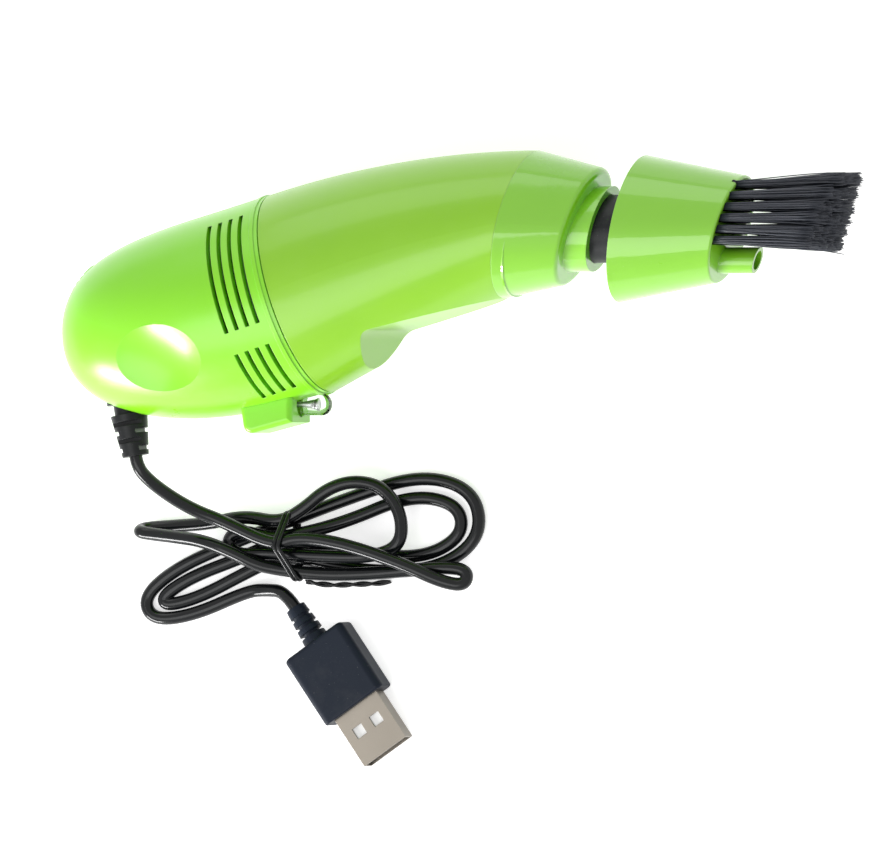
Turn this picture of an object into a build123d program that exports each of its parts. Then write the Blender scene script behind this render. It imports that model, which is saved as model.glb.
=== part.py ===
from build123d import *
from math import cos, pi, radians, sin, sqrt, tan
import os

os.makedirs("parts", exist_ok=True)

# The cleaner lies on its left flank. +X runs to the nose, +Y is the tool's own up, +Z points up from the table.
# Side-view points are (X, Y) on the mid-plane, which lies this high above the table.
flank_half_width = 22.0
bead_height = 0.25
lie = flank_half_width + bead_height

# Rear housing, side view: its axis is an arc from the tail to the joint, and its oval grows like a full ellipse
tail_point = (-93.9, -6.6)
joint_top = (-45.0, 24.4)
joint_bottom = (-31.3, -19.7)
tail_fullness = 2.7
tail_ring_count = 8
tail_first_ring = 0.6
shell_wall = 2.0

# Dust chamber and nose, side view
neck_top = (-16.0, 31.2)
neck_bottom = (-11.0, -9.2)
chamber_ring_count = 5
nose_top = (18.2, 33.9)
nose_bottom = (10.0, 1.1)
nose_half_width = 17.4
shoulder_top = (33.9, 29.8)
shoulder_bottom = (23.8, 3.9)
shoulder_half_width = 12.8
chin_corner = (-22.0, -16.6)
chin_inner_corner = (-18.6, -6.2)
chin_run = (-20.0, -10.4)
chin_round = 5.5
chin_inner_round = 3.5
nose_wall = 1.8
shoulder_round = 1.4
seam_gap = 0.25
spigot_length = 4.0
spigot_wall = 1.4
spigot_clearance = 0.45
spigot_root = 2.5
fit_gap = 0.2
bead_width = 1.0
bead_back = 0.9

# Exhaust slots in the flanks, measured back from the joint and up or down from the housing's axis
slot_width = 1.0
slot_pitch = 2.6
slot_first = 4.3
slot_count = 4
slot_upper_low = -5.7
slot_upper_high = 19.3
slot_lower_low = -20.6
slot_lower_high = -10.6
slot_keel = 5.0
dimple_place = (-67.5, -12.7)
dimple_skin = 18.6
dimple_lean = 23.0
dimple_radius = 27.0
dimple_depth = 2.6

# Coupling tube, collar and brush head
nose_axis_y = 16.4
tube_radius = 7.55
tube_wall = 1.3
tube_start = 15.0
tube_end = 45.0
tube_flange_radius = 8.8
tube_flange_thickness = 1.6
tube_clearance = 0.05
collar_radius = 9.5
collar_rim_x = 33.2
collar_rake = 15.0
brush_rim_top = (43.4, 32.7)
brush_rim_bottom = (37.1, 0.1)
brush_rim_half_width = 16.0
brush_face_top = (67.0, 28.0)
brush_face_bottom = (59.6, 4.3)
brush_face_half_width = 12.0
brush_wall = 1.5
brush_face_wall = 2.2
brush_face_round = 0.6
socket_clearance = 0.15
socket_wall = 1.5
socket_start = 43.0
socket_end = 53.0
web_start = 49.0
web_thickness = 1.6
spout_y = 9.3
spout_radius = 2.9
spout_bore_radius = 2.1
spout_end = 69.2
spout_rake = 17.0

# Bristles: rows of tufts, each tuft a small grid of strands
row_count = 6
row_pitch = 2.55
row_first = -2.7
tuft_pitch = 2.5
tuft_edge = 1.9
tuft_side = 3
strand_pitch = 0.52
strand_radius = 0.19
strand_fan = 1.75
tuft_fan = 1.06
bristle_tip_top = (93.4, 26.8)
bristle_tip_bottom = (89.0, 12.9)
tip_dome = 0.36
strip_height = 1.8
strip_depth = 1.3
strip_inset = 0.3
strip_clearance = 0.1
strip_end = 1.9
strand_stray = 0.6

# Fan, motor and filter, placed along the housing's axis by their distance back from the joint
fan_cover_back = 6.1
fan_cover_thickness = 1.5
fan_inlet_radius = 8.5
inner_clearance = 0.3
filter_side_room = 6.0
filter_end_room = 7.0
filter_thickness = 3.0
filter_front = 0.6
filter_rim = 2.2
filter_cross_width = 1.4
filter_cross_depth = 1.2
cloth_clearance = 0.05
cloth_inset = 0.2
cloth_thickness = 1.4
impeller_radius = 14.5
impeller_back = 13.4
impeller_front = 6.9
impeller_plate = 1.2
impeller_hub_radius = 3.4
blade_count = 9
blade_thickness = 0.9
back_plate_back = 16.2
back_plate_thickness = 1.4
motor_radius = 12.0
motor_front = 16.4
motor_back = 40.5
motor_can_wall = 1.0
motor_boss_radius = 3.0
motor_boss_length = 1.3
end_cap_thickness = 2.4
shaft_radius = 1.0
shaft_front = 8.0
shaft_back = 42.4
shaft_clearance = 0.05
armature_radius = 8.2
armature_front = 22.0
armature_back = 31.5
armature_slot = 2.2
winding_overhang = 1.8
magnet_thickness = 2.0
magnet_angle = 110.0
commutator_radius = 2.8
commutator_front = 34.2
commutator_back = 37.6
bush_radius = 2.2
bush_length = 2.2
rib_thickness = 1.6
rib_front = 17.0
rib_back = 35.0
rib_clearance = 0.15

# Housing screws: boss centres on the mid-plane, (X, Y)
screw_places = [(-66.9, 11.5), (-81.6, -15.4), (-41.6, -17.2), (-52.1, 16.9)]
boss_radius = 2.6
screw_radius = 1.1
screw_clearance = 0.1
screw_head_radius = 1.9
screw_head_height = 1.4
screw_seat = 7.0
screw_reach = 6.0

# Slide switch at the tail
switch_centre = (-90.7, 2.4)
switch_up = (0.417, 0.909)
switch_recess_length = 15.5
switch_recess_width = 8.4
switch_floor = -1.3
switch_pad_depth = 3.2
slider_length = 11.6
slider_gap = 0.3
slider_travel = 3.0
slider_crown = 0.25
grip_count = 5
grip_pitch = 1.5
grip_width = 0.6
grip_depth = 0.5
stem_reach = 3.2
stem_length = 3.0
stem_width = 2.4
switch_body_length = 8.6
switch_body_width = 4.2
switch_body_depth = 3.6
switch_body_gap = 0.3
pin_count = 3
pin_pitch = 2.5
pin_length = 1.6

# Lamp and its housing
lamp_y = -22.4
lamp_radius = 2.5
lamp_tip = -31.2
lamp_length = 8.6
lamp_flange_extra = 0.25
lamp_bore_depth = 1.8
lamp_block_rise = 3.5
lamp_flange_thickness = 1.0
lamp_block_front = -38.3
lamp_block_back = -51.2
lamp_block_width = 13.0
lamp_block_front_bottom = -26.4
lamp_block_back_bottom = -29.3
lamp_block_round = 2.0
lamp_bore_clearance = 0.3
lead_radius = 0.3
lead_spacing = 1.27
lead_room = 3.4
lead_length = 3.0
resistor_radius = 1.1
resistor_length = 4.6

# Strain relief and cord
cord_radius = 1.5
relief_point = (-79.6, -24.3)
relief_way = (0.17, -0.985)
relief_length = 9.8
relief_root_radius = 4.2
relief_tip_radius = 3.0
relief_neck_radius = 3.2
relief_flange_radius = 4.6
relief_flange_thickness = 1.4
relief_core_radius = 2.0
relief_inside = 3.6
relief_gap = 0.3
relief_clearance = 0.1
relief_cut_width = 1.0
relief_cut_count = 4

# USB plug, lying flat
plug_back = (-41.4, -75.5)
plug_way = (0.571, -0.821)
plug_width = 16.4
plug_height = 8.0
plug_length = 17.6
plug_round = 1.6
plug_relief_length = 9.0
plug_relief_root = 3.1
plug_relief_tip = 2.3
plug_shell_width = 12.0
plug_shell_height = 4.5
plug_shell_length = 12.4
plug_shell_wall = 0.35
plug_window = 2.6
plug_window_inset = 5.2
plug_window_spacing = 4.9
plug_tongue_thickness = 1.9
plug_contact_pitch = 2.3
plug_contact_count = 4
plug_contact_width = 1.1
plug_contact_thickness = 0.25
plug_contact_length = 7.5
plug_block_length = 3.0
plug_shell_socket = 4.0
plug_groove_count = 3
plug_groove_first = 1.6
plug_groove_pitch = 2.2
plug_groove_width = 0.9
plug_groove_radius = 2.0

# Hank: waist, layers and tie
waist_point = (-49.5, -54.2)
waist_layer = 3.5
tie_thickness = 1.0
tie_width = 2.2
tie_gap = 0.25
run_share = 0.45

# Inner pieces
filter_seat_height = 0.7
filter_seat_width = 1.2
blade_lean = 25.0
blade_root = 8.0
core_hub_radius = 2.6
core_arm_width = 3.0
core_shoe = 1.4
coil_width = 1.7
coil_front_gap = 0.05
pole_count = 3
segment_slit = 0.4
carbon_width = 1.6
carbon_length = 2.0
carbon_reach = 6.5
terminal_thickness = 0.5
terminal_width = 2.2
terminal_front = 34.6
terminal_back = 43.2
wire_radius = 0.5

up = Vector(0, 0, 1)


def on_flat(point, height=lie):
    return Vector(point[0], point[1], height)


def oval_plane(top, bottom):
    run = on_flat(top) - on_flat(bottom)
    middle = (on_flat(top) + on_flat(bottom)) * 0.5
    return Plane(origin=middle, x_dir=run, z_dir=run.cross(up))


def oval_height(top, bottom):
    return (on_flat(top) - on_flat(bottom)).length / 2


def oval_body(stations, inset=0.0, straight=False):
    # A closed body through upright ovals, each given by its top, its bottom and its half width
    with BuildPart() as body:
        for top, bottom, half_width in stations:
            with BuildSketch(oval_plane(top, bottom)):
                Ellipse(oval_height(top, bottom) - inset, half_width - inset)
        loft(ruled=straight)
    return body.part


# Housing axis: starts at the joint's centre and runs forward, square to the joint
joint_plane = oval_plane(joint_top, joint_bottom)
joint_half_height = oval_height(joint_top, joint_bottom)

# The round filter sits in the oval joint, so the narrower way across sets its size
filter_radius = min(flank_half_width - filter_side_room, joint_half_height - filter_end_room)
axis_way = joint_plane.z_dir
axis_up = joint_plane.x_dir


def axis_plane(back, rise=0.0):
    origin = joint_plane.origin - axis_way * back + axis_up * rise
    return Plane(origin=origin, x_dir=axis_up, z_dir=axis_way)


def disc(back, front, radius, bore=0.0):
    with BuildPart() as part:
        with BuildSketch(axis_plane(back)):
            Circle(radius)
            if bore > 0:
                Circle(bore, mode=Mode.SUBTRACT)
        extrude(amount=back - front)
    return part.part


def write(builder, label):
    builder.part.label = label
    export_step(builder.part, f"parts/{label}.step")


# Rear housing: an arc from the tail, square to the joint at its end
with BuildLine() as rear_axis:
    TangentArc(joint_plane.origin, on_flat(tail_point), tangent=-axis_way)
rear_axis_length = rear_axis.wire().length


def rear_swell(distance):
    # Share of the full section at this distance from the tail
    share = 1 - (1 - distance / rear_axis_length) ** tail_fullness
    return share ** (1 / tail_fullness)


def rear_body(inset):
    with BuildPart() as body:
        for index in range(tail_ring_count):
            share = (index / (tail_ring_count - 1)) ** 1.6
            distance = tail_first_ring + (rear_axis_length - tail_first_ring) * share
            along = max(0.0, 1 - distance / rear_axis_length)
            middle = rear_axis.wire() @ along
            forward = -(rear_axis.wire() % along)
            if distance < inset + tail_first_ring:
                continue
            size = rear_swell(distance)
            with BuildSketch(Plane(origin=middle, x_dir=up.cross(forward), z_dir=forward)):
                Ellipse(joint_half_height * size - inset, flank_half_width * size - inset)
        loft()
    return body.part


rear_form = rear_body(0)
slider_form = rear_body(-slider_crown)
rear_cavity = rear_body(shell_wall)

# Motor ribs: slabs of the cavity with the motor's bore
with BuildPart() as rib_pair:
    for back in (rib_front, rib_back):
        with BuildSketch(axis_plane(back + rib_thickness)):
            Ellipse(joint_half_height, flank_half_width)
            Circle(motor_radius + rib_clearance, mode=Mode.SUBTRACT)
        extrude(amount=rib_thickness)
    add(rear_cavity, mode=Mode.INTERSECT)

# Switch pad and recess
switch_way = Vector(switch_up[0], switch_up[1], 0).normalized()
switch_out = up.cross(switch_way)
switch_plane = Plane(origin=on_flat(switch_centre), x_dir=switch_way, z_dir=switch_out)
recess_middle = (slider_length + slider_gap * 2 + slider_travel) / 2
slider_shift = recess_middle - slider_length / 2 - slider_gap

with BuildPart() as switch_pad:
    with BuildSketch(switch_plane.offset(-switch_pad_depth)):
        Rectangle(switch_recess_length + 3, switch_recess_width + 3)
    extrude(amount=switch_pad_depth + 1)
    add(rear_form, mode=Mode.INTERSECT)

with BuildPart() as switch_recess:
    with BuildSketch(switch_plane.offset(switch_floor)):
        RectangleRounded(recess_middle * 2, switch_recess_width, 1.0)
    extrude(amount=8)
    with BuildSketch(switch_plane.offset(-switch_pad_depth - 6)):
        Rectangle(stem_length + slider_travel + slider_gap * 2, stem_width + slider_gap * 2)
    extrude(amount=10)

with BuildPart() as switch_room:
    with BuildSketch(switch_plane.offset(-switch_pad_depth - switch_body_depth - 3)):
        Rectangle(switch_body_length + slider_gap, switch_body_width + slider_gap)
    extrude(amount=switch_body_depth + 3)


def slot_slabs(side):
    # Thin slabs square to the axis that open the slots of one flank
    with BuildPart() as slabs:
        for index in range(slot_count):
            back = slot_first + slot_pitch * index
            for low, high in ((slot_upper_low, slot_upper_high), (slot_lower_low, slot_lower_high)):
                with BuildSketch(axis_plane(back + slot_width / 2, (low + high) / 2)):
                    with Locations((0, side * (slot_keel + flank_half_width / 2))):
                        Rectangle(high - low, flank_half_width)
                extrude(amount=slot_width)
    return slabs.part


def dimple(side, grow):
    # A shallow round hollow, leaning down from the flank
    lean = radians(dimple_lean)
    reach = dimple_radius - dimple_depth
    skin = Vector(dimple_place[0], dimple_place[1], lie + side * dimple_skin)
    centre = skin + Vector(0, -sin(lean), side * cos(lean)) * reach
    with BuildPart() as ball:
        with Locations(centre):
            Sphere(dimple_radius + grow)
    return ball.part


# Screw bosses, wells and pilot holes
with BuildPart() as boss_rods:
    with BuildSketch(Plane.XY):
        with Locations(*screw_places):
            Circle(boss_radius)
    extrude(amount=2 * lie)
    add(rear_form, mode=Mode.INTERSECT)

with BuildPart() as screw_holes:
    with BuildSketch(Plane.XY.offset(-1)):
        with Locations(*screw_places):
            Circle(screw_head_radius + screw_clearance)
    extrude(amount=lie - screw_seat + 1)
    with BuildSketch(Plane.XY.offset(lie - screw_seat - 1)):
        with Locations(*screw_places):
            Circle(screw_radius + screw_clearance)
    extrude(amount=screw_seat + screw_reach + 2)

# Strain relief frame and its hole in the housing
relief_dir = Vector(relief_way[0], relief_way[1], 0).normalized()
relief_plane = Plane(origin=on_flat(relief_point), x_dir=up, z_dir=relief_dir)
with BuildPart() as relief_hole:
    for start, radius, length in (
        (-relief_inside - 3, relief_neck_radius, relief_inside + 6),
        (-relief_inside - 3, relief_flange_radius, relief_flange_thickness + 3),
        (relief_gap, relief_root_radius, 4),
    ):
        with BuildSketch(relief_plane.offset(start)):
            Circle(radius + relief_clearance)
        extrude(amount=length + relief_clearance)

# Room in the housing's skin for the lamp and its leads
with BuildPart() as lamp_room:
    with BuildSketch(Plane(origin=(lamp_tip - lamp_length - 0.2, lamp_y, lie), z_dir=(1, 0, 0))):
        Circle(lamp_radius + lamp_bore_clearance)
    extrude(amount=lamp_length + 2)
    with BuildSketch(Plane(origin=(lamp_tip - lamp_length, lamp_y, lie), z_dir=(-1, 0, 0))):
        Rectangle(lead_room, lead_room)
    extrude(amount=lead_length + resistor_length + 0.5)

with BuildPart() as bead:
    with BuildSketch(axis_plane(bead_back + bead_width)):
        Ellipse(joint_half_height + bead_height, flank_half_width + bead_height)
        Ellipse(joint_half_height - shell_wall / 2, flank_half_width - shell_wall / 2, mode=Mode.SUBTRACT)
    extrude(amount=bead_width)

for side, label in ((1, "rear_shell_right"), (-1, "rear_shell_left")):
    keep = Keep.TOP if side > 0 else Keep.BOTTOM
    with BuildPart() as hollow:
        add(rear_cavity)
        add(dimple(side, shell_wall), mode=Mode.SUBTRACT)
        add(boss_rods.part, mode=Mode.SUBTRACT)
        add(rib_pair.part, mode=Mode.SUBTRACT)
        add(switch_pad.part, mode=Mode.SUBTRACT)
        split(bisect_by=Plane.XY.offset(lie), keep=keep)
    with BuildPart() as rear_shell:
        add(rear_form)
        add(bead.part)
        split(bisect_by=Plane.XY.offset(lie), keep=keep)
        add(hollow.part, mode=Mode.SUBTRACT)
        add(dimple(side, 0), mode=Mode.SUBTRACT)
        add(slot_slabs(side), mode=Mode.SUBTRACT)
        for cutter in (switch_recess, switch_room, screw_holes, relief_hole, lamp_room):
            add(cutter.part, mode=Mode.SUBTRACT)
    write(rear_shell, label)
    print(label, "solids", len(rear_shell.part.solids()), "volume", round(rear_shell.part.volume))

# Lamp housing: a rounded block under the body, with the lamp's bore
lamp_side = [
    (lamp_block_back + 1.5, lamp_block_back_bottom),
    (lamp_block_front, lamp_block_front_bottom),
    (lamp_block_front, lamp_y + lamp_block_rise),
    (lamp_block_back, lamp_y + lamp_block_rise),
]
with BuildPart() as lamp_housing:
    with BuildSketch(Plane.XY.offset(lie - lamp_block_width / 2)):
        with BuildLine():
            Polyline(*lamp_side, close=True)
        make_face()
    extrude(amount=lamp_block_width)
    fillet(lamp_housing.edges().filter_by(Axis.Z).group_by(Axis.Y)[0], radius=lamp_block_round)
    fillet(
        lamp_housing.faces().sort_by(Axis.Z)[-1].edges().sort_by(Axis.Y)[:-1]
        + lamp_housing.faces().sort_by(Axis.Z)[0].edges().sort_by(Axis.Y)[:-1],
        radius=lamp_block_round * 0.6,
    )
    add(rear_form, mode=Mode.SUBTRACT)
    with BuildSketch(Plane(origin=(lamp_block_front + 1, lamp_y, lie), z_dir=(-1, 0, 0))):
        Circle(lamp_radius + lamp_bore_clearance)
    extrude(amount=lamp_bore_depth + 1, mode=Mode.SUBTRACT)
    with BuildSketch(Plane(origin=(lamp_block_front - lamp_bore_depth + 0.1, lamp_y, lie), z_dir=(-1, 0, 0))):
        Rectangle(lead_room, lead_room)
    extrude(amount=lead_length + resistor_length + 0.5, mode=Mode.SUBTRACT)
write(lamp_housing, "lamp_housing")

# Lamp: a clear bulb with a flange, its two leads, and a resistor beyond them
with BuildPart() as led_bulb:
    with BuildSketch(Plane(origin=(lamp_tip - lamp_length, lamp_y, lie), z_dir=(1, 0, 0))):
        Circle(lamp_radius)
    extrude(amount=lamp_length)
    fillet(led_bulb.faces().sort_by(Axis.X)[-1].edges(), radius=lamp_radius * 0.85)
    with BuildSketch(Plane(origin=(lamp_tip - lamp_length, lamp_y, lie), z_dir=(1, 0, 0))):
        Circle(lamp_radius + lamp_flange_extra)
    extrude(amount=lamp_flange_thickness)
write(led_bulb, "led_bulb")

with BuildPart() as led_leads:
    with BuildSketch(Plane(origin=(lamp_tip - lamp_length, lamp_y, lie), z_dir=(-1, 0, 0))):
        with GridLocations(lead_spacing, 0, 2, 1):
            Rectangle(lead_radius * 2, lead_radius * 2)
    extrude(amount=lead_length)
write(led_leads, "led_leads")

# Slide switch: curved slider in the recess, its body and three pins inside
with BuildPart() as switch_slider:
    with BuildSketch(switch_plane.offset(switch_floor + 0.1)):
        with Locations((slider_shift, 0)):
            RectangleRounded(slider_length, switch_recess_width - 2 * slider_gap, 0.8)
    extrude(amount=8)
    add(slider_form, mode=Mode.INTERSECT)
    with BuildSketch(switch_plane.offset(8)):
        for index in range(grip_count):
            with Locations((slider_shift + (index - (grip_count - 1) / 2) * grip_pitch, 0)):
                Rectangle(grip_width, switch_recess_width)
    extrude(amount=grip_depth - 8 - slider_crown, mode=Mode.SUBTRACT)
    with BuildSketch(switch_plane.offset(switch_floor + 0.2)):
        with Locations((slider_shift, 0)):
            Rectangle(stem_length, stem_width)
    extrude(amount=-stem_reach)
write(switch_slider, "switch_slider")

switch_body_top = switch_floor + 0.2 - stem_reach - switch_body_gap
with BuildPart() as switch_body:
    with BuildSketch(switch_plane.offset(switch_body_top)):
        Rectangle(switch_body_length, switch_body_width)
    extrude(amount=-switch_body_depth)
write(switch_body, "switch_body")

with BuildPart() as switch_pins:
    with BuildSketch(switch_plane.offset(switch_body_top - switch_body_depth)):
        with GridLocations(pin_pitch, 0, pin_count, 1):
            Rectangle(0.7, 0.4)
    extrude(amount=-pin_length)
write(switch_pins, "switch_pins")

# Housing screws: pan heads seated in their wells
with BuildPart() as housing_screws:
    with BuildSketch(Plane.XY.offset(lie - screw_seat)):
        with Locations(*screw_places):
            Circle(screw_head_radius)
    extrude(amount=-screw_head_height)
    with BuildSketch(Plane.XY.offset(lie - screw_seat)):
        with Locations(*screw_places):
            Circle(screw_radius)
    extrude(amount=screw_seat + screw_reach)
    for place in screw_places:
        with BuildSketch(Plane.XY.offset(lie - screw_seat - screw_head_height)):
            with Locations(place):
                Rectangle(screw_head_radius * 1.2, 0.5)
                Rectangle(0.5, screw_head_radius * 1.2)
        extrude(amount=0.8, mode=Mode.SUBTRACT)
write(housing_screws, "housing_screws")


# Strain relief: a flange inside, a neck in the wall and a tapered boot with staggered cuts
with BuildPart() as strain_relief:
    with BuildSketch(relief_plane.offset(-relief_inside)):
        Circle(relief_flange_radius)
    extrude(amount=relief_flange_thickness)
    with BuildSketch(relief_plane.offset(-relief_inside)):
        Circle(relief_neck_radius)
    extrude(amount=relief_inside + relief_gap)
    with BuildSketch(relief_plane.offset(relief_gap)):
        Circle(relief_root_radius)
    with BuildSketch(relief_plane.offset(relief_length)):
        Circle(relief_tip_radius)
    loft(ruled=True)
    for index in range(relief_cut_count):
        level = relief_gap + 1.6 + index * (relief_length - 2.0) / relief_cut_count
        turned = 90 * (index % 2)
        with BuildSketch(relief_plane.offset(level)):
            with PolarLocations(relief_core_radius + relief_root_radius / 2, 2, start_angle=turned):
                Rectangle(relief_root_radius, relief_root_radius * 3)
        extrude(amount=relief_cut_width, mode=Mode.SUBTRACT)
write(strain_relief, "strain_relief")
relief_tip = on_flat(relief_point) + relief_dir * relief_length
print("strain relief tip", [round(value, 2) for value in relief_tip])


# Dust chamber: an oval body from the joint to the nose seam, cut away under the neck behind a blunt chin
with BuildLine() as chamber_top:
    ThreePointArc(joint_top, neck_top, nose_top)
with BuildLine() as chamber_bottom:
    ThreePointArc(joint_bottom, neck_bottom, nose_bottom)


def chamber_body(inset, front):
    stations = []
    for index in range(chamber_ring_count):
        share = index / (chamber_ring_count - 1)
        top = chamber_top.wire() @ share
        bottom = chamber_bottom.wire() @ share
        width = flank_half_width - (flank_half_width - nose_half_width) * share ** 1.4
        stations.append(((top.X, top.Y), (bottom.X, bottom.Y), width))
    if front > 0:
        run = Vector(*nose_top) - Vector(*nose_bottom)
        shift = run.cross(up).normalized() * front
        top = Vector(*nose_top) + shift
        bottom = Vector(*nose_bottom) + shift
        stations.append(((top.X, top.Y), (bottom.X, bottom.Y), nose_half_width))
    return oval_body(stations, inset)


def neck_cut(grow):
    # The region under the neck: up the chin, round its inner corner and on past the nose seam
    slope = (nose_bottom[1] - chin_inner_corner[1]) / (nose_bottom[0] - chin_inner_corner[0])
    far = (nose_bottom[0] + 30, nose_bottom[1] + 30 * slope)
    start = (chin_corner[0] + chin_run[0], chin_corner[1] + chin_run[1])
    with BuildPart() as cutter:
        with BuildSketch(Plane.XY.offset(-5)):
            with BuildLine():
                FilletPolyline(
                    start, chin_corner, chin_inner_corner, far, radius=[chin_round, chin_inner_round]
                )
                Polyline(far, (far[0], -60), (start[0], -60), start)
            make_face()
            if grow > 0:
                offset(amount=grow)
        extrude(amount=2 * lie + 10)
    return cutter.part


nose_seam = oval_plane(nose_top, nose_bottom)
nose_half_height = oval_height(nose_top, nose_bottom)
with BuildPart() as chamber_hollow:
    add(chamber_body(shell_wall, 1.0))
    add(neck_cut(shell_wall), mode=Mode.SUBTRACT)

spigot_half_height = joint_half_height - shell_wall - spigot_clearance
spigot_half_width = flank_half_width - shell_wall - spigot_clearance
with BuildPart() as dust_chamber:
    add(chamber_body(0, 0))
    add(neck_cut(0), mode=Mode.SUBTRACT)
    add(chamber_hollow.part, mode=Mode.SUBTRACT)
    with BuildSketch(joint_plane.offset(seam_gap)):
        Ellipse(joint_half_height - shell_wall / 2, flank_half_width - shell_wall / 2)
        Ellipse(spigot_half_height - spigot_wall, spigot_half_width - spigot_wall, mode=Mode.SUBTRACT)
    extrude(amount=spigot_root)
    with BuildSketch(joint_plane.offset(-spigot_length)):
        Ellipse(spigot_half_height, spigot_half_width)
        Ellipse(spigot_half_height - spigot_wall, spigot_half_width - spigot_wall, mode=Mode.SUBTRACT)
    extrude(amount=spigot_length + seam_gap + spigot_root)
    with BuildSketch(joint_plane.offset(-seam_gap)):
        Ellipse(joint_half_height + 2, flank_half_width + 2)
        Ellipse(spigot_half_height, spigot_half_width, mode=Mode.SUBTRACT)
    extrude(amount=seam_gap * 2, mode=Mode.SUBTRACT)
write(dust_chamber, "dust_chamber")
print("dust chamber solids", len(dust_chamber.part.solids()), "volume", round(dust_chamber.part.volume))

# Nose cone: a tapered shell with a spigot behind, a collar in front and a long bore for the tube
collar_tilt = radians(collar_rake)
collar_plane = Plane(origin=(collar_rim_x, nose_axis_y, lie), z_dir=(cos(collar_tilt), -sin(collar_tilt), 0))
tube_bore = tube_radius + tube_clearance
shoulder = oval_plane(shoulder_top, shoulder_bottom)


def moved(point, way, amount):
    target = Vector(*point) + way * amount
    return (target.X, target.Y)


nose_stations = [(nose_top, nose_bottom, nose_half_width), (shoulder_top, shoulder_bottom, shoulder_half_width)]
back_top = moved(shoulder_top, shoulder.z_dir, -nose_wall)
back_bottom = moved(shoulder_bottom, shoulder.z_dir, -nose_wall)
hollow_stations = [(nose_top, nose_bottom, nose_half_width), (back_top, back_bottom, shoulder_half_width)]
spigot_inset = shell_wall + fit_gap + spigot_wall
with BuildPart() as spigot_core:
    add(chamber_body(spigot_inset, 1.0))
    add(neck_cut(spigot_inset), mode=Mode.SUBTRACT)

with BuildPart() as nose_spigot:
    with BuildSketch(nose_seam.offset(-spigot_length)):
        Rectangle(nose_half_height * 3, nose_half_width * 3)
    extrude(amount=spigot_length)
    add(chamber_body(shell_wall + fit_gap, 1.0), mode=Mode.INTERSECT)
    add(neck_cut(shell_wall + fit_gap), mode=Mode.SUBTRACT)
    add(spigot_core.part, mode=Mode.SUBTRACT)

with BuildPart() as nose_cone:
    add(oval_body(nose_stations, 0, True))
    fillet(nose_cone.faces().sort_by(Axis(shoulder.origin, shoulder.z_dir))[-1].edges(), radius=shoulder_round)
    add(oval_body(hollow_stations, nose_wall, True), mode=Mode.SUBTRACT)
    with BuildSketch(nose_seam):
        Ellipse(nose_half_height - nose_wall / 2, nose_half_width - nose_wall / 2)
        Ellipse(nose_half_height - spigot_inset, nose_half_width - spigot_inset, mode=Mode.SUBTRACT)
    extrude(amount=spigot_root)
    add(nose_spigot.part)
    with BuildSketch(Plane(origin=(tube_start, nose_axis_y, lie), z_dir=(1, 0, 0))):
        Circle(collar_radius)
    extrude(amount=collar_rim_x - tube_start + 6)
    split(bisect_by=collar_plane, keep=Keep.BOTTOM)
    with BuildSketch(Plane(origin=(tube_start - 1, nose_axis_y, lie), z_dir=(1, 0, 0))):
        Circle(tube_bore)
    extrude(amount=collar_rim_x - tube_start + 10, mode=Mode.SUBTRACT)
write(nose_cone, "nose_cone")
print("nose solids", len(nose_cone.part.solids()), "volume", round(nose_cone.part.volume))

# Coupling tube: slides into the nose bore from behind and stops on its flange
with BuildPart() as coupling_tube:
    with BuildSketch(Plane(origin=(tube_start, nose_axis_y, lie), z_dir=(1, 0, 0))):
        Circle(tube_radius)
    extrude(amount=tube_end - tube_start)
    with BuildSketch(Plane(origin=(tube_start - tube_flange_thickness, nose_axis_y, lie), z_dir=(1, 0, 0))):
        Circle(tube_flange_radius)
    extrude(amount=tube_flange_thickness)
    chamfer(coupling_tube.faces().sort_by(Axis.X)[-1].edges(), length=0.4)
    with BuildSketch(Plane(origin=(tube_start - tube_flange_thickness, nose_axis_y, lie), z_dir=(1, 0, 0))):
        Circle(tube_radius - tube_wall)
    extrude(amount=tube_end - tube_start + tube_flange_thickness, mode=Mode.SUBTRACT)
write(coupling_tube, "coupling_tube")

# Brush head: tapered shell, raked face with grooves for the bristle strips, socket and web inside, spout
brush_stations = [
    (brush_rim_top, brush_rim_bottom, brush_rim_half_width),
    (brush_face_top, brush_face_bottom, brush_face_half_width),
]
brush_face = oval_plane(brush_face_top, brush_face_bottom)
brush_half_height = oval_height(brush_face_top, brush_face_bottom)
inner_top = moved(brush_face_top, brush_face.z_dir, -brush_face_wall)
inner_bottom = moved(brush_face_bottom, brush_face.z_dir, -brush_face_wall)
brush_inner = oval_body(
    [(brush_rim_top, brush_rim_bottom, brush_rim_half_width), (inner_top, inner_bottom, brush_face_half_width)],
    brush_wall,
    True,
)
spout_tilt = radians(spout_rake)
spout_plane = Plane(origin=(spout_end, spout_y, lie), z_dir=(cos(spout_tilt), -sin(spout_tilt), 0))


def row_rise(row):
    return row_first + row_pitch * row


def row_half_width(row):
    rise = row_rise(row) / brush_half_height
    return brush_face_half_width * sqrt(1 - rise * rise) - tuft_edge


with BuildPart() as face_grooves:
    for row in range(row_count):
        with BuildSketch(brush_face.offset(-strip_depth)):
            with Locations((row_rise(row), 0)):
                Rectangle(strip_height + strip_clearance, 2 * row_half_width(row) + strip_end + strip_clearance)
        extrude(amount=strip_depth + 1)

with BuildPart() as web:
    with BuildSketch(Plane(origin=(web_start, nose_axis_y, lie), z_dir=(1, 0, 0))):
        Circle(brush_rim_half_width * 1.2)
    extrude(amount=web_thickness)
    add(brush_inner, mode=Mode.INTERSECT)

with BuildPart() as spout_form:
    with BuildSketch(Plane(origin=(inner_bottom[0] - 1, spout_y, lie), z_dir=(1, 0, 0))):
        Circle(spout_radius)
    extrude(amount=spout_end - inner_bottom[0] + 5)
    split(bisect_by=spout_plane, keep=Keep.BOTTOM)

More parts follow.
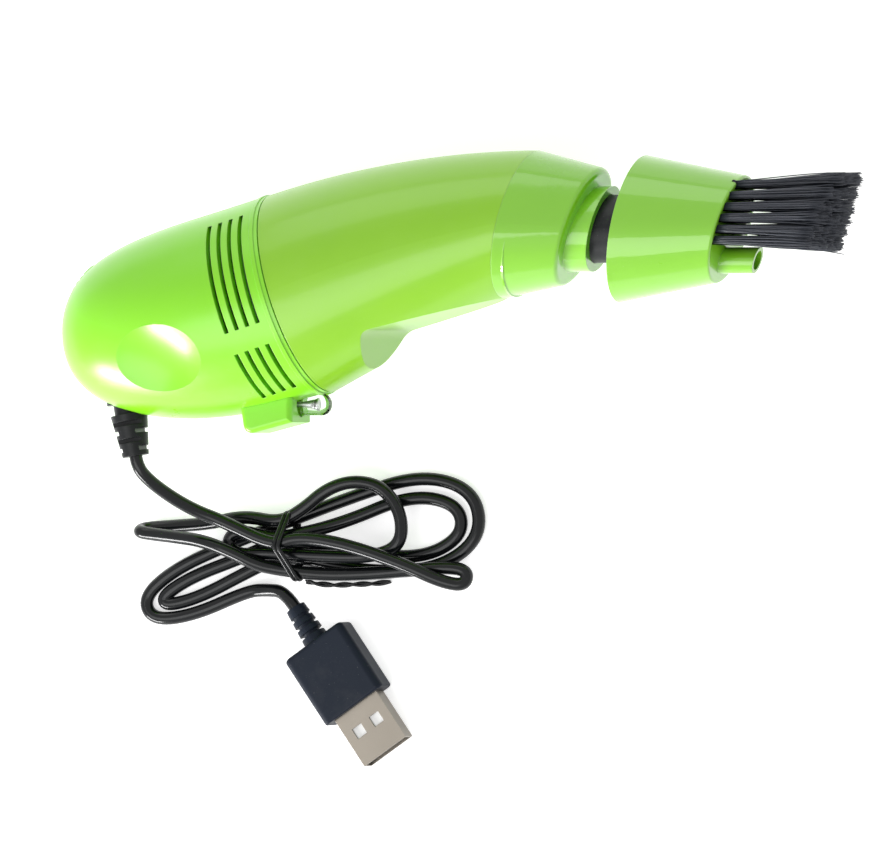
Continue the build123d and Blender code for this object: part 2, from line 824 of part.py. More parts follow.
with BuildPart() as brush_head:
    add(oval_body(brush_stations, 0, True))
    fillet(brush_head.faces().sort_by(Axis(brush_face.origin, brush_face.z_dir))[-1].edges(), radius=brush_face_round)
    add(spout_form.part)
    add(brush_inner, mode=Mode.SUBTRACT)
    add(web.part)
    with BuildSketch(Plane(origin=(socket_start, nose_axis_y, lie), z_dir=(1, 0, 0))):
        Circle(tube_radius + socket_clearance + socket_wall)
    extrude(amount=socket_end - socket_start)
    with BuildSketch(Plane(origin=(socket_start - 1, nose_axis_y, lie), z_dir=(1, 0, 0))):
        Circle(tube_radius + socket_clearance)
    extrude(amount=socket_end - socket_start + 2, mode=Mode.SUBTRACT)
    with BuildSketch(Plane(origin=(inner_bottom[0] - 3, spout_y, lie), z_dir=(1, 0, 0))):
        Circle(spout_bore_radius)
    extrude(amount=spout_end - inner_bottom[0] + 8, mode=Mode.SUBTRACT)
    add(face_grooves.part, mode=Mode.SUBTRACT)
write(brush_head, "brush_head")
print("brush head solids", len(brush_head.part.solids()), "volume", round(brush_head.part.volume))

# Bristle rows: a strip in its groove with tufts of straight strands that fan out a little and never cross
strand_middle = (tuft_side - 1) / 2
strand_total = 0
row_top = row_rise(row_count - 1)
row_bottom = row_rise(0)
for row in range(row_count):
    rise = row_rise(row)
    share = (rise - row_bottom) / (row_top - row_bottom)
    half_width = row_half_width(row)
    tufts = max(2, round(2 * half_width / tuft_pitch) + 1)
    spacing = 2 * half_width / (tufts - 1)
    tip_x = bristle_tip_bottom[0] + (bristle_tip_top[0] - bristle_tip_bottom[0]) * share
    tip_y = bristle_tip_bottom[1] + (bristle_tip_top[1] - bristle_tip_bottom[1]) * share
    strands = []
    for tuft in range(tufts):
        across = -half_width + spacing * tuft
        for column in range(tuft_side):
            for level in range(tuft_side):
                side_step = (column - strand_middle) * strand_pitch
                rise_step = (level - strand_middle) * strand_pitch
                root = brush_face.from_local_coords(Vector(rise + rise_step, across + side_step, -strip_depth / 2))
                stray = sin(tuft * 5.3 + column * 2.1 + level * 3.7 + row * 1.3)
                tip = Vector(
                    tip_x + stray * strand_stray - abs(across) * tip_dome,
                    tip_y + rise_step * strand_fan,
                    lie + across * tuft_fan + side_step * strand_fan,
                )
                way = tip - root
                section = Plane(origin=root, z_dir=way)
                corners = [
                    section.from_local_coords(
                        Vector(strand_radius * cos(radians(turn)), strand_radius * sin(radians(turn)), 0)
                    )
                    for turn in (0, 120, 240)
                ]
                strands.append(Solid.extrude(Face(Wire.make_polygon(corners)), way))
    strand_total += len(strands)
    with BuildPart() as bristle_row:
        with BuildSketch(brush_face.offset(-strip_depth)):
            with Locations((rise, 0)):
                Rectangle(strip_height, 2 * half_width + strip_end)
        extrude(amount=strip_depth - strip_inset)
        add(strands)
    write(bristle_row, f"bristle_row_{row + 1}")
    print("bristle row", row + 1, "solids", len(bristle_row.part.solids()), "strands", len(strands))
print("strands in all", strand_total)

# Fan cover: an oval plate behind the chamber's spigot, with the inlet and a seat for the filter
with BuildPart() as fan_cover:
    with BuildSketch(axis_plane(fan_cover_back)):
        Ellipse(joint_half_height, flank_half_width)
    extrude(amount=fan_cover_thickness)
    add(rear_body(shell_wall + inner_clearance), mode=Mode.INTERSECT)
    with BuildSketch(axis_plane(fan_cover_back - fan_cover_thickness)):
        Circle(filter_radius + fit_gap + filter_seat_width)
        Circle(filter_radius - filter_rim, mode=Mode.SUBTRACT)
    extrude(amount=filter_seat_height)
    with BuildSketch(axis_plane(fan_cover_back - fan_cover_thickness - filter_seat_height)):
        Circle(filter_radius + fit_gap + filter_seat_width)
        Circle(filter_radius + fit_gap, mode=Mode.SUBTRACT)
    extrude(amount=filter_thickness / 2)
    with BuildSketch(axis_plane(fan_cover_back + 1)):
        Circle(fan_inlet_radius)
    extrude(amount=fan_cover_thickness + 2, mode=Mode.SUBTRACT)
write(fan_cover, "fan_cover")

# Filter: a ring frame with a cross, and the cloth behind it
with BuildPart() as filter_frame:
    with BuildSketch(axis_plane(filter_front + filter_thickness)):
        Circle(filter_radius)
        Circle(filter_radius - filter_rim, mode=Mode.SUBTRACT)
    extrude(amount=filter_thickness)
    with BuildSketch(axis_plane(filter_front + filter_cross_depth)):
        Rectangle(2 * filter_radius - filter_rim, filter_cross_width)
        Rectangle(filter_cross_width, 2 * filter_radius - filter_rim)
    extrude(amount=filter_cross_depth)
write(filter_frame, "filter_frame")

with BuildPart() as filter_cloth:
    with BuildSketch(axis_plane(filter_front + filter_thickness - cloth_inset)):
        Circle(filter_radius - filter_rim - cloth_clearance)
    extrude(amount=cloth_thickness)
write(filter_cloth, "filter_cloth")

# Impeller: a plate, a hub on the shaft and leaning blades
with BuildPart() as impeller:
    with BuildSketch(axis_plane(impeller_back)):
        Circle(impeller_radius)
    extrude(amount=impeller_plate)
    with BuildSketch(axis_plane(impeller_back)):
        Circle(impeller_hub_radius)
    extrude(amount=impeller_back - shaft_front)
    with BuildSketch(axis_plane(impeller_back)):
        with PolarLocations(blade_root, blade_count):
            Rectangle(impeller_radius - impeller_hub_radius, blade_thickness, rotation=blade_lean)
    extrude(amount=impeller_back - impeller_front)
    add(disc(impeller_back, impeller_front, impeller_radius), mode=Mode.INTERSECT)
    add(disc(impeller_back + 1, impeller_front - 1, shaft_radius), mode=Mode.SUBTRACT)
write(impeller, "impeller")
print("impeller solids", len(impeller.part.solids()))

with BuildPart() as fan_back_plate:
    add(disc(back_plate_back, back_plate_back - back_plate_thickness, impeller_radius + 1.0, motor_boss_radius + 0.2))
write(fan_back_plate, "fan_back_plate")

# Motor: can with its front boss, end cap, bushes, magnets
with BuildPart() as motor_can:
    add(disc(motor_back, motor_front, motor_radius))
    add(disc(motor_front, motor_front - motor_boss_length, motor_boss_radius))
    add(disc(motor_back + 1, motor_front + motor_can_wall, motor_radius - motor_can_wall), mode=Mode.SUBTRACT)
    add(disc(motor_back, motor_front - motor_boss_length - 1, bush_radius), mode=Mode.SUBTRACT)
write(motor_can, "motor_can")

with BuildPart() as motor_end_cap:
    add(disc(motor_back, motor_back - end_cap_thickness, motor_radius - motor_can_wall, bush_radius))
    for side in (1, -1):
        with BuildSketch(axis_plane(motor_back + 1)):
            with Locations((0, side * (carbon_reach + terminal_thickness / 2 + 0.05))):
                Rectangle(terminal_width + 0.1, terminal_thickness + 0.1)
        extrude(amount=end_cap_thickness + 2, mode=Mode.SUBTRACT)
write(motor_end_cap, "motor_end_cap")

with BuildPart() as motor_bushes:
    front_bush = motor_front - motor_boss_length
    for back in (front_bush + bush_length, motor_back):
        add(disc(back, back - bush_length, bush_radius, shaft_radius + shaft_clearance))
write(motor_bushes, "motor_bushes")

magnet_outer = motor_radius - motor_can_wall - 0.05
with BuildPart() as motor_magnets:
    with BuildSketch(axis_plane(armature_back + 1)):
        Circle(magnet_outer)
        Circle(magnet_outer - magnet_thickness, mode=Mode.SUBTRACT)
        gap_angle = radians((180 - magnet_angle) / 2)
        reach = magnet_outer * 2
        for side in (1, -1):
            with Locations((0, 0)):
                Polygon(
                    (0, 0),
                    (side * reach * cos(gap_angle), reach * sin(gap_angle)),
                    (side * reach * cos(gap_angle), -reach * sin(gap_angle)),
                    align=None,
                    mode=Mode.SUBTRACT,
                )
    extrude(amount=armature_back - armature_front + 2)
write(motor_magnets, "motor_magnets")

# Armature: a core with three poles, a coil round each arm, the commutator and the shaft
arm_outer = armature_radius - core_shoe
with BuildPart() as armature_core:
    with BuildSketch(axis_plane(armature_back)):
        Circle(armature_radius)
        Circle(arm_outer, mode=Mode.SUBTRACT)
        with PolarLocations(armature_radius, pole_count, start_angle=180 / pole_count):
            Rectangle(armature_radius, armature_slot, mode=Mode.SUBTRACT)
        with PolarLocations(arm_outer / 2, pole_count):
            Rectangle(arm_outer + 0.2, core_arm_width)
        Circle(core_hub_radius)
        Circle(shaft_radius, mode=Mode.SUBTRACT)
    extrude(amount=armature_back - armature_front)
write(armature_core, "armature_core")
print("core solids", len(armature_core.part.solids()))

coil_low = core_hub_radius + 0.7
coil_half_width = core_arm_width / 2 + coil_width
coil_high = sqrt(arm_outer**2 - coil_half_width**2) - 0.1
with BuildPart() as armature_windings:
    with BuildSketch(axis_plane(armature_back + winding_overhang)):
        with PolarLocations((coil_low + coil_high) / 2, pole_count):
            Rectangle(coil_high - coil_low, 2 * coil_half_width)
    extrude(amount=armature_back - armature_front + 2 * winding_overhang)
    with BuildSketch(axis_plane(armature_back + coil_front_gap)):
        with PolarLocations((coil_low + coil_high) / 2, pole_count):
            Rectangle(coil_high - coil_low + 1, core_arm_width + 2 * coil_front_gap)
    extrude(amount=armature_back - armature_front + 2 * coil_front_gap, mode=Mode.SUBTRACT)
write(armature_windings, "armature_windings")

with BuildPart() as commutator:
    with BuildSketch(axis_plane(commutator_back)):
        Circle(commutator_radius)
        Circle(shaft_radius, mode=Mode.SUBTRACT)
        with PolarLocations(commutator_radius, pole_count, start_angle=180 / pole_count):
            Rectangle(segment_slit * 2, segment_slit, mode=Mode.SUBTRACT)
    extrude(amount=commutator_back - commutator_front)
write(commutator, "commutator")

with BuildPart() as motor_shaft:
    add(disc(shaft_back, shaft_front, shaft_radius))
write(motor_shaft, "motor_shaft")

# Carbon brushes press on the commutator from both sides, carried by the terminals that leave the end cap
with BuildPart() as motor_brushes:
    middle = (commutator_front + commutator_back) / 2
    carbon_depth = carbon_reach - commutator_radius - 0.05
    for side in (1, -1):
        with BuildSketch(axis_plane(middle + carbon_length / 2)):
            with Locations((0, side * (carbon_reach - carbon_depth / 2))):
                Rectangle(carbon_width, carbon_depth)
        extrude(amount=carbon_length)
write(motor_brushes, "motor_brushes")

with BuildPart() as motor_terminals:
    for side in (1, -1):
        with BuildSketch(axis_plane(terminal_back)):
            with Locations((0, side * (carbon_reach + 0.05 + terminal_thickness / 2))):
                Rectangle(terminal_width, terminal_thickness)
        extrude(amount=terminal_back - terminal_front)
write(motor_terminals, "motor_terminals")


def axis_point(back, rise, aside):
    return joint_plane.origin - axis_way * back + axis_up * rise + up * aside


# Supply wires: from the relief to one terminal and the switch, and from the switch to the other terminal
terminal_aside = carbon_reach + 0.05 + terminal_thickness / 2
wire_routes = [
    [(45.6, -9.1, -1.6), (43.0, -8.2, -4.0), (42.0, -4.5, -terminal_aside), (42.0, -1.2, -terminal_aside)],
    [(45.6, -9.1, 1.6), (42.6, -8.0, 4.5), (42.2, -1.0, 5.2), (43.6, 4.4, 1.6), (44.3, 6.6, 0.0)],
    [(41.7, 9.8, 0.9), (42.0, 7.0, 4.6), (42.0, 4.4, terminal_aside), (42.0, 1.2, terminal_aside)],
]


def round_run(points, share, radius, first=0.0, last=0.0):
    # A round strand along straight runs joined by tangent arcs; the end runs keep a straight length
    spots = [Vector(*point) for point in points]
    runs = [spots[index + 1] - spots[index] for index in range(len(spots) - 1)]
    radii = []
    for index in range(1, len(spots) - 1):
        before = runs[index - 1].length
        after = runs[index].length
        room = min(before, after) * share
        if index == 1 and first > 0:
            room = min(before - first, after * share)
        if index == len(spots) - 2 and last > 0:
            room = min(after - last, room)
        half_turn = radians(runs[index - 1].get_angle(runs[index])) / 2
        radii.append(room / tan(half_turn))
    with BuildLine() as path:
        FilletPolyline(*spots, radius=radii)
    with BuildPart() as strand:
        with BuildSketch(Plane(origin=spots[0], z_dir=runs[0])):
            Circle(radius)
        sweep(path=path.wire())
    return strand.part, path.wire(), radii


with BuildPart() as supply_wires:
    for route in wire_routes:
        spots = [axis_point(*place) for place in route]
        strand, path, radii = round_run([(spot.X, spot.Y, spot.Z) for spot in spots], run_share, wire_radius)
        add(strand)
write(supply_wires, "supply_wires")

with BuildPart() as lamp_resistor:
    with BuildSketch(Plane(origin=(lamp_tip - lamp_length - lead_length - 0.05, lamp_y, lie), z_dir=(-1, 0, 0))):
        Circle(resistor_radius)
    extrude(amount=resistor_length)
write(lamp_resistor, "lamp_resistor")

# Hank: one strand from the lead to the tail, through the waist nine times with a lobe between passes.
# Each lobe: waist pass (across, height), angle, reach, half width, first side, shape, heights of its points.
layer_low = tie_thickness + tie_gap + cord_radius
layer_mid = layer_low + waist_layer
layer_high = layer_mid + waist_layer
full_shape = ((0.35, 0.7), (0.75, 1.0), (1.02, 0.5))
pinched_shape = ((0.3, 1.05), (0.62, 0.5), (1.0, 0.27))
inner_shape = ((0.35, 0.4), (0.75, 1.0), (1.02, 0.5))
outer_shape = ((0.35, 0.75), (0.75, 1.0), (1.02, 0.5))
square_shape = ((0.35, 1.0), (0.75, 1.0), (1.02, 0.5))
lobes = [
    ((0.0, layer_high), -12, 44.0, 5.5, 1, full_shape, (9.5, 9.0, 6.6, 5.1, 5.1, 5.8)),
    ((-5.25, layer_mid), 175, 34.0, 6.4, 1, pinched_shape, (5.9, 5.3, 4.2, 3.6, 4.5, 5.8)),
    ((5.25, layer_mid), 15, 30.0, 7.4, 1, full_shape, (6.0, 5.7, 5.7, 5.6, 5.6, 5.9)),
    ((-1.75, layer_mid), 176, 12.0, 2.7, 1, full_shape, (6.1, 6.1, 6.1, 6.1, 6.1, 6.1)),
    ((1.75, layer_mid), 8, 43.0, 7.8, 1, inner_shape, (3.9, 1.5, 1.5, 1.5, 1.5, 1.7)),
    ((1.75, layer_low), -156, 33.0, 3.4, -1, full_shape, (1.8, 1.5, 1.5, 1.5, 1.5, 1.8)),
    ((-1.75, layer_low), 8, 47.0, 11.6, -1, outer_shape, (1.7, 1.5, 1.5, 1.5, 1.5, 1.7)),
    ((5.25, layer_low), -156, 38.8, 7.0, -1, square_shape, (1.8, 1.5, 1.5, 1.5, 1.5, 1.5)),
]
hank_start = (-7.75, 2.3, layer_high)
hank_points = [hank_start]
for (across, height), angle, reach, half_width, side, shape, heights in lobes:
    hank_points.append((0.0, across, height))
    order = [(ahead, side * wide) for ahead, wide in shape] + [(ahead, -side * wide) for ahead, wide in shape[::-1]]
    turned = radians(angle)
    for (ahead, wide), height in zip(order, heights):
        x = ahead * reach * cos(turned) - wide * half_width * sin(turned)
        y = ahead * reach * sin(turned) + wide * half_width * cos(turned)
        hank_points.append((x, y, height))
last_corner = hank_points[-1]
hank_points[-1] = tuple((hank_points[-2][index] + last_corner[index]) / 2 for index in range(3))


def at_waist(point):
    return (waist_point[0] + point[0], waist_point[1] + point[1], point[2])


hank_route = [at_waist(point) for point in hank_points]
hank_part, hank_path, hank_radii = round_run(hank_route, run_share, cord_radius, 2 * cord_radius, 2 * cord_radius)
with BuildPart() as cord_hank:
    add(hank_part)
write(cord_hank, "cord_hank")
print("hank least radius", round(min(hank_radii), 1), "length", round(hank_path.length))
print("hank volume", round(cord_hank.part.volume), "against", round(hank_path.length * pi * cord_radius**2))

spots = []
distances = []
walked = 0.0
for edge in hank_path.edges():
    steps = max(2, round(edge.length / 0.8))
    for index in range(steps):
        spots.append(edge @ (index / steps))
        distances.append(walked + edge.length * index / steps)
    walked += edge.length
least = min(
    (spots[first] - spots[second]).length
    for first in range(len(spots))
    for second in range(first + 1, len(spots))
    if distances[second] - distances[first] > cord_radius * 6
)
print("hank least gap to itself", round(least - 2 * cord_radius, 2))

# Lead: from the relief's tip down to the hank; tail: from the hank to the plug's relief
plug_middle = plug_height / 2
plug_plane = Plane(origin=(plug_back[0], plug_back[1], plug_middle), x_dir=up, z_dir=(plug_way[0], plug_way[1], 0))
plug_tip = plug_plane.from_local_coords(Vector(0, 0, -plug_relief_length))
before_plug = plug_plane.from_local_coords(Vector(0, 0, -plug_relief_length - 4.5))
after_relief = relief_tip + relief_dir * 4
lead_corner = at_waist((-15.5, 4.6, layer_high))
lead_route = [
    (relief_tip.X, relief_tip.Y, relief_tip.Z),
    (after_relief.X, after_relief.Y, after_relief.Z),
    (-76.0, -42.0, 20.0),
    (-73.8, -45.3, 16.3),
    (-70.2, -47.6, 12.6),
    lead_corner,
    hank_route[0],
]
tail_route = [
    hank_route[-1],
    at_waist(last_corner),
    at_waist((-4.6, -9.9, 2.2)),
    (before_plug.X, before_plug.Y, before_plug.Z),
    (plug_tip.X, plug_tip.Y, plug_tip.Z),
]
for route, label in ((lead_route, "cord_lead"), (tail_route, "cord_tail")):
    first = 2 * cord_radius if label == "cord_tail" else 0.0
    last = 2 * cord_radius if label == "cord_lead" else 0.0
    strand, path, radii = round_run(route, run_share, cord_radius, first, last)
    with BuildPart() as stretch:
        add(strand)
    write(stretch, label)
    print(label, "length", round(path.length, 1), "radii", [round(value, 1) for value in radii])
    print(label, "volume", round(stretch.part.volume, 1), "against", round(path.length * pi * cord_radius**2, 1))

# Tie: a flat band round the waist
waist_ring = [
    (-5.25, layer_mid), (-1.75, layer_low), (5.25, layer_low), (5.25, layer_mid), (0.0, layer_high),
]
tie_plane = Plane(origin=(waist_point[0] - tie_width / 2, waist_point[1], 0), x_dir=(0, 1, 0), z_dir=(1, 0, 0))
with BuildPart() as cord_tie:
    with BuildSketch(tie_plane):
        Polygon(*waist_ring, align=None)
        offset(amount=cord_radius + tie_gap + tie_thickness)
    extrude(amount=tie_width)
    with BuildSketch(tie_plane):
        Polygon(*waist_ring, align=None)
        offset(amount=cord_radius + tie_gap)
    extrude(amount=tie_width, mode=Mode.SUBTRACT)
write(cord_tie, "cord_tie")

# Plug: a rounded overmould with a ribbed relief, a folded shell with windows, the insulator and four contacts
with BuildPart() as plug_overmould:
    with BuildSketch(plug_plane):
        RectangleRounded(plug_height, plug_width, plug_round)
    extrude(amount=plug_length)
    fillet(plug_overmould.faces().sort_by(Axis(plug_plane.origin, plug_plane.z_dir))[-1].edges(), radius=0.5)
    fillet(plug_overmould.faces().sort_by(Axis(plug_plane.origin, plug_plane.z_dir))[0].edges(), radius=1.0)
    with BuildSketch(plug_plane.offset(-plug_relief_length)):
        Circle(plug_relief_tip)
    with BuildSketch(plug_plane.offset(0.5)):
        Circle(plug_relief_root)
    loft(ruled=True)
    for index in range(plug_groove_count):
        with BuildSketch(plug_plane.offset(-plug_groove_first - index * plug_groove_pitch)):
            Circle(plug_relief_root + 1)
            Circle(plug_groove_radius, mode=Mode.SUBTRACT)
        extrude(amount=-plug_groove_width, mode=Mode.SUBTRACT)
    with BuildSketch(plug_plane.offset(plug_length - plug_shell_socket)):
        Rectangle(plug_shell_height, plug_shell_width)
    extrude(amount=plug_shell_socket + 1, mode=Mode.SUBTRACT)
write(plug_overmould, "plug_overmould")
print("plug solids", len(plug_overmould.part.solids()))

shell_plane = plug_plane.offset(plug_length - plug_shell_socket)
with BuildPart() as plug_shell:
    with BuildSketch(shell_plane):
        Rectangle(plug_shell_height, plug_shell_width)
        Rectangle(plug_shell_height - 2 * plug_shell_wall, plug_shell_width - 2 * plug_shell_wall, mode=Mode.SUBTRACT)
    extrude(amount=plug_shell_socket + plug_shell_length)
    window_plane = Plane(
        origin=shell_plane.from_local_coords(Vector(-plug_shell_height, 0, plug_shell_socket + plug_window_inset)),
        x_dir=plug_plane.z_dir,
        z_dir=up,
    )
    with BuildSketch(window_plane):
        with GridLocations(0, plug_window_spacing, 1, 2):
            Rectangle(plug_window, plug_window)
    extrude(amount=plug_shell_height * 2, mode=Mode.SUBTRACT)
write(plug_shell, "plug_shell")

tongue_rise = plug_shell_height / 2 - plug_shell_wall - plug_tongue_thickness / 2 - 0.05
inner_width = plug_shell_width - 2 * plug_shell_wall - 0.1
inner_height = plug_shell_height - 2 * plug_shell_wall - 0.1
with BuildPart() as plug_insulator:
    with BuildSketch(shell_plane):
        Rectangle(inner_height, inner_width)
    extrude(amount=plug_shell_socket + plug_block_length)
    with BuildSketch(shell_plane):
        with Locations((tongue_rise, 0)):
            Rectangle(plug_tongue_thickness, inner_width)
    extrude(amount=plug_shell_socket + plug_shell_length - 0.5)
write(plug_insulator, "plug_insulator")

with BuildPart() as plug_contacts:
    with BuildSketch(shell_plane.offset(plug_shell_socket + plug_block_length)):
        with Locations((tongue_rise - plug_tongue_thickness / 2 - plug_contact_thickness / 2, 0)):
            with GridLocations(0, plug_contact_pitch, 1, plug_contact_count):
                Rectangle(plug_contact_thickness, plug_contact_width)
    extrude(amount=plug_contact_length)
write(plug_contacts, "plug_contacts")
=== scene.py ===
import random
from math import cos, pi, radians, sin, sqrt

import bmesh
import bpy
from mathutils import Matrix, Vector


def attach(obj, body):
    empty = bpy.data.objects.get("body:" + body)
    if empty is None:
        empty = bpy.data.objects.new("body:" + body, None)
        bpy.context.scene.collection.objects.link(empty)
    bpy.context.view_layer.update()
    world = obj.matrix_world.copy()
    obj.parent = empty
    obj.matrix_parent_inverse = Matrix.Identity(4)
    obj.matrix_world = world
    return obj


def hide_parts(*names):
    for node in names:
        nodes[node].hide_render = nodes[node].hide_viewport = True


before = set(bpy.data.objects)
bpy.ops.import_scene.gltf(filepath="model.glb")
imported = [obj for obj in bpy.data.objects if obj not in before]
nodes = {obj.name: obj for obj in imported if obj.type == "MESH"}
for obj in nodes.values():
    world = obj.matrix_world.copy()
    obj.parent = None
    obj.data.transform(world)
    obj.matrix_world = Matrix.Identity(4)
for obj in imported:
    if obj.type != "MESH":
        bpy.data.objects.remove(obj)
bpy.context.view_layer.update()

# Lengths are in millimetres up to the point where they become a piece's own coordinates
scene = bpy.context.scene
mm = 0.001
lie = 22.25  # height of the cleaner's mid-plane above the table
up = Vector((0, 0, 1))
print("frame loaded:", len(nodes), "nodes")

# A long lens straight over the table, tilted towards the brush end
camera = {
    "target": (-3.8, -26.9, lie),
    "tilt": 20.0,
    "distance": 3000.0,
    "lens": 544.0,
    "sensorWidth": 36.0,
    "clip": (0.01, 20.0),
}
tilt = radians(camera["tilt"])
pictureUp = Vector((0, 1, 0))
towards = Vector((sin(tilt), 0, cos(tilt)))
across = pictureUp.cross(towards)
cameraData = bpy.data.cameras.new("photoCamera")
cameraData.lens = camera["lens"]
cameraData.sensor_width = camera["sensorWidth"]
cameraData.clip_start, cameraData.clip_end = camera["clip"]
photoCamera = bpy.data.objects.new("photoCamera", cameraData)
scene.collection.objects.link(photoCamera)
turn = Matrix((across, pictureUp, towards)).transposed().to_4x4()
stand = Vector(camera["target"]) * mm + towards * camera["distance"] * mm
photoCamera.matrix_world = Matrix.Translation(stand) @ turn
scene.camera = photoCamera
print("camera set")

# The cord: out of the strain relief, down to the table, through the tied hank and on to the plug.
# The hank lies in three layers, and its points are measured from its waist, where the tie holds it.
# There, up to four strands lie side by side in each of the two lower layers, and one lies on top.
cord = {
    "diameter": 3.0,
    "reliefTip": (-77.93, -33.96, lie),
    "reliefWay": (0.17, -0.985),
    "straightRun": 2.5,
    "lead": ((-75.6, -39.4, 20.3), (-71.6, -43.2, 16.6), (-67.0, -46.3, 13.2)),
    "waist": (-49.5, -54.2),
    "layers": (2.75, 6.25, 9.75),
    "passes": (-5.25, -1.75, 1.75, 5.25),
    "intoHank": (-12.0, 5.6, 10.8),
    "outOfHank": (-4.6, -9.9, 2.2),
    "toPlug": ((-49.11, -64.42, 4.0), (-46.54, -68.11, 4.0)),
    "splineOrder": 3,
    "stepsPerPoint": 10,
    "bevelSteps": 5,
}
layerLow, layerMid, layerHigh = cord["layers"]
firstPass, secondPass, thirdPass, fourthPass = cord["passes"]
lowerRight = (  # the strand that lies on top, with its hook at the far end
    (5.8, 2.2, 10.0), (17.5, 0.4, 9.7), (31.0, -4.2, 8.6), (38.5, -7.8, 6.4), (43.8, -8.8, 4.9),
    (44.4, -5.2, 4.7), (38.5, -4.6, 4.7), (30.0, -5.4, 4.7), (20.0, -6.2, 4.8), (9.0, -6.4, 5.6),
)
leftSpike = (  # folded flat, one strand over the other
    (-5.0, -4.2, 7.9), (-10.5, -1.2, 9.9), (-17.5, 1.2, 9.2), (-25.0, 2.0, 6.9), (-31.0, 2.6, 5.4),
    (-34.6, 3.1, 5.0), (-34.4, 3.9, 1.7), (-27.0, 4.4, 1.7), (-18.0, 5.0, 3.0), (-9.0, 6.8, 5.0),
)
uprightLoop = (
    (5.5, 8.2, 6.1), (11.0, 12.8, 5.9), (17.5, 14.8, 5.8), (24.5, 13.4, 5.7), (29.0, 7.4, 5.7),
    (28.8, 0.2, 5.6), (22.0, -2.4, 5.6), (11.0, -2.3, 5.8),
)
# Each lobe: where the strand passes the waist, then the loop's own points, or else its angle, reach,
# half width, first side, share of that width near the waist, and the heights of its six points
lobes = [
    ((0.0, layerHigh), lowerRight),
    ((firstPass, layerMid), leftSpike),
    ((fourthPass, layerMid), uprightLoop),
    ((secondPass, layerMid), 176, 12.0, 2.7, 1, 0.7, (6.1, 6.1, 6.1, 6.1, 6.1, 6.1)),
    ((thirdPass, layerMid), 8, 41.2, 7.4, 1, 0.4, (3.9, 1.5, 1.5, 1.5, 1.5, 1.7)),
    ((thirdPass, layerLow), -157, 31.5, 2.5, -1, 0.7, (1.8, 1.5, 1.5, 1.5, 1.5, 1.8)),
    ((secondPass, layerLow), 9, 45.4, 11.0, -1, 0.75, (1.7, 1.5, 1.5, 1.5, 1.5, 1.7)),
    ((fourthPass, layerLow), -157, 35.8, 5.7, -1, 1.0, (1.8, 1.5, 1.5, 1.5, 1.5, 1.5)),
]
lobeAhead = (0.35, 0.75, 1.02)  # shares of the reach at which a lobe has its points
lobeWide = (1.0, 0.5)  # shares of the half width at the second and third of them


def atWaist(point):
    return (cord["waist"][0] + point[0], cord["waist"][1] + point[1], point[2])


def lobePoints(angle, reach, halfWidth, side, rootWide, heights):
    # Out along one side of the lobe and back along the other
    outline = list(zip(lobeAhead, (rootWide, *lobeWide)))
    strand = [(ahead, side * wide) for ahead, wide in outline]
    strand += [(ahead, -side * wide) for ahead, wide in outline[::-1]]
    turned = radians(angle)
    points = []
    for (ahead, wide), height in zip(strand, heights):
        x = ahead * reach * cos(turned) - wide * halfWidth * sin(turned)
        y = ahead * reach * sin(turned) + wide * halfWidth * cos(turned)
        points.append((x, y, height))
    return points


tip = cord["reliefTip"]
way = cord["reliefWay"]
route = [
    tip,
    (tip[0] + way[0] * cord["straightRun"], tip[1] + way[1] * cord["straightRun"], tip[2]),
    *cord["lead"],
    atWaist(cord["intoHank"]),
]
for (passAcross, passHeight), *lobe in lobes:
    points = lobe[0] if len(lobe) == 1 else lobePoints(*lobe)
    route += [atWaist(point) for point in ((0.0, passAcross, passHeight), *points)]
route += [atWaist(cord["outOfHank"]), *cord["toPlug"]]

cordCurve = bpy.data.curves.new("cord", "CURVE")
cordCurve.dimensions = "3D"
spline = cordCurve.splines.new("NURBS")
spline.points.add(len(route) - 1)
for point, spot in zip(spline.points, route):
    point.co = (spot[0] * mm, spot[1] * mm, spot[2] * mm, 1.0)
    point.radius = cord["diameter"] / 2 * mm  # with a bevel depth of 1, so that the curve's own box is right
spline.order_u = cord["splineOrder"]
spline.use_endpoint_u = True
spline.resolution_u = cord["stepsPerPoint"]
cordCurve.bevel_depth = 1.0
cordCurve.bevel_resolution = cord["bevelSteps"]
cordCurve.use_fill_caps = True
cordPiece = bpy.data.objects.new("cord", cordCurve)
scene.collection.objects.link(cordPiece)
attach(cordPiece, "housing")
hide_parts("cord_lead", "cord_hank", "cord_tail")
print("cord laid through", len(route), "points")


def meshPiece(name, mesh, body):
    data = bpy.data.meshes.new(name)
    mesh.normal_update()
    mesh.to_mesh(data)
    mesh.free()
    for polygon in data.polygons:
        polygon.use_smooth = True
    piece = bpy.data.objects.new(name, data)
    scene.collection.objects.link(piece)
    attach(piece, body)
    return piece


def sweepRound(mesh, spots, radii, sides, closed=False):
    # A round strand through spots, with its ends capped or joined
    rings = []
    normal = None
    for index, spot in enumerate(spots):
        before = spots[index - 1] if closed else spots[max(index - 1, 0)]
        after = spots[(index + 1) % len(spots)] if closed else spots[min(index + 1, len(spots) - 1)]
        ahead = (after - before).normalized()
        if normal is None:
            normal = ahead.orthogonal().normalized()
        normal = (normal - ahead * normal.dot(ahead)).normalized()
        beside = ahead.cross(normal)
        ring = []
        for step in range(sides):
            spin = 2 * pi * step / sides
            ring.append(mesh.verts.new(spot + (normal * cos(spin) + beside * sin(spin)) * radii[index]))
        rings.append(ring)
    if closed:
        rings.append(rings[0])
    for first, second in zip(rings, rings[1:]):
        for step in range(sides):
            following = (step + 1) % sides
            mesh.faces.new((first[step], first[following], second[following], second[step]))
    if not closed:
        mesh.faces.new(rings[0][::-1])
        mesh.faces.new(rings[-1])


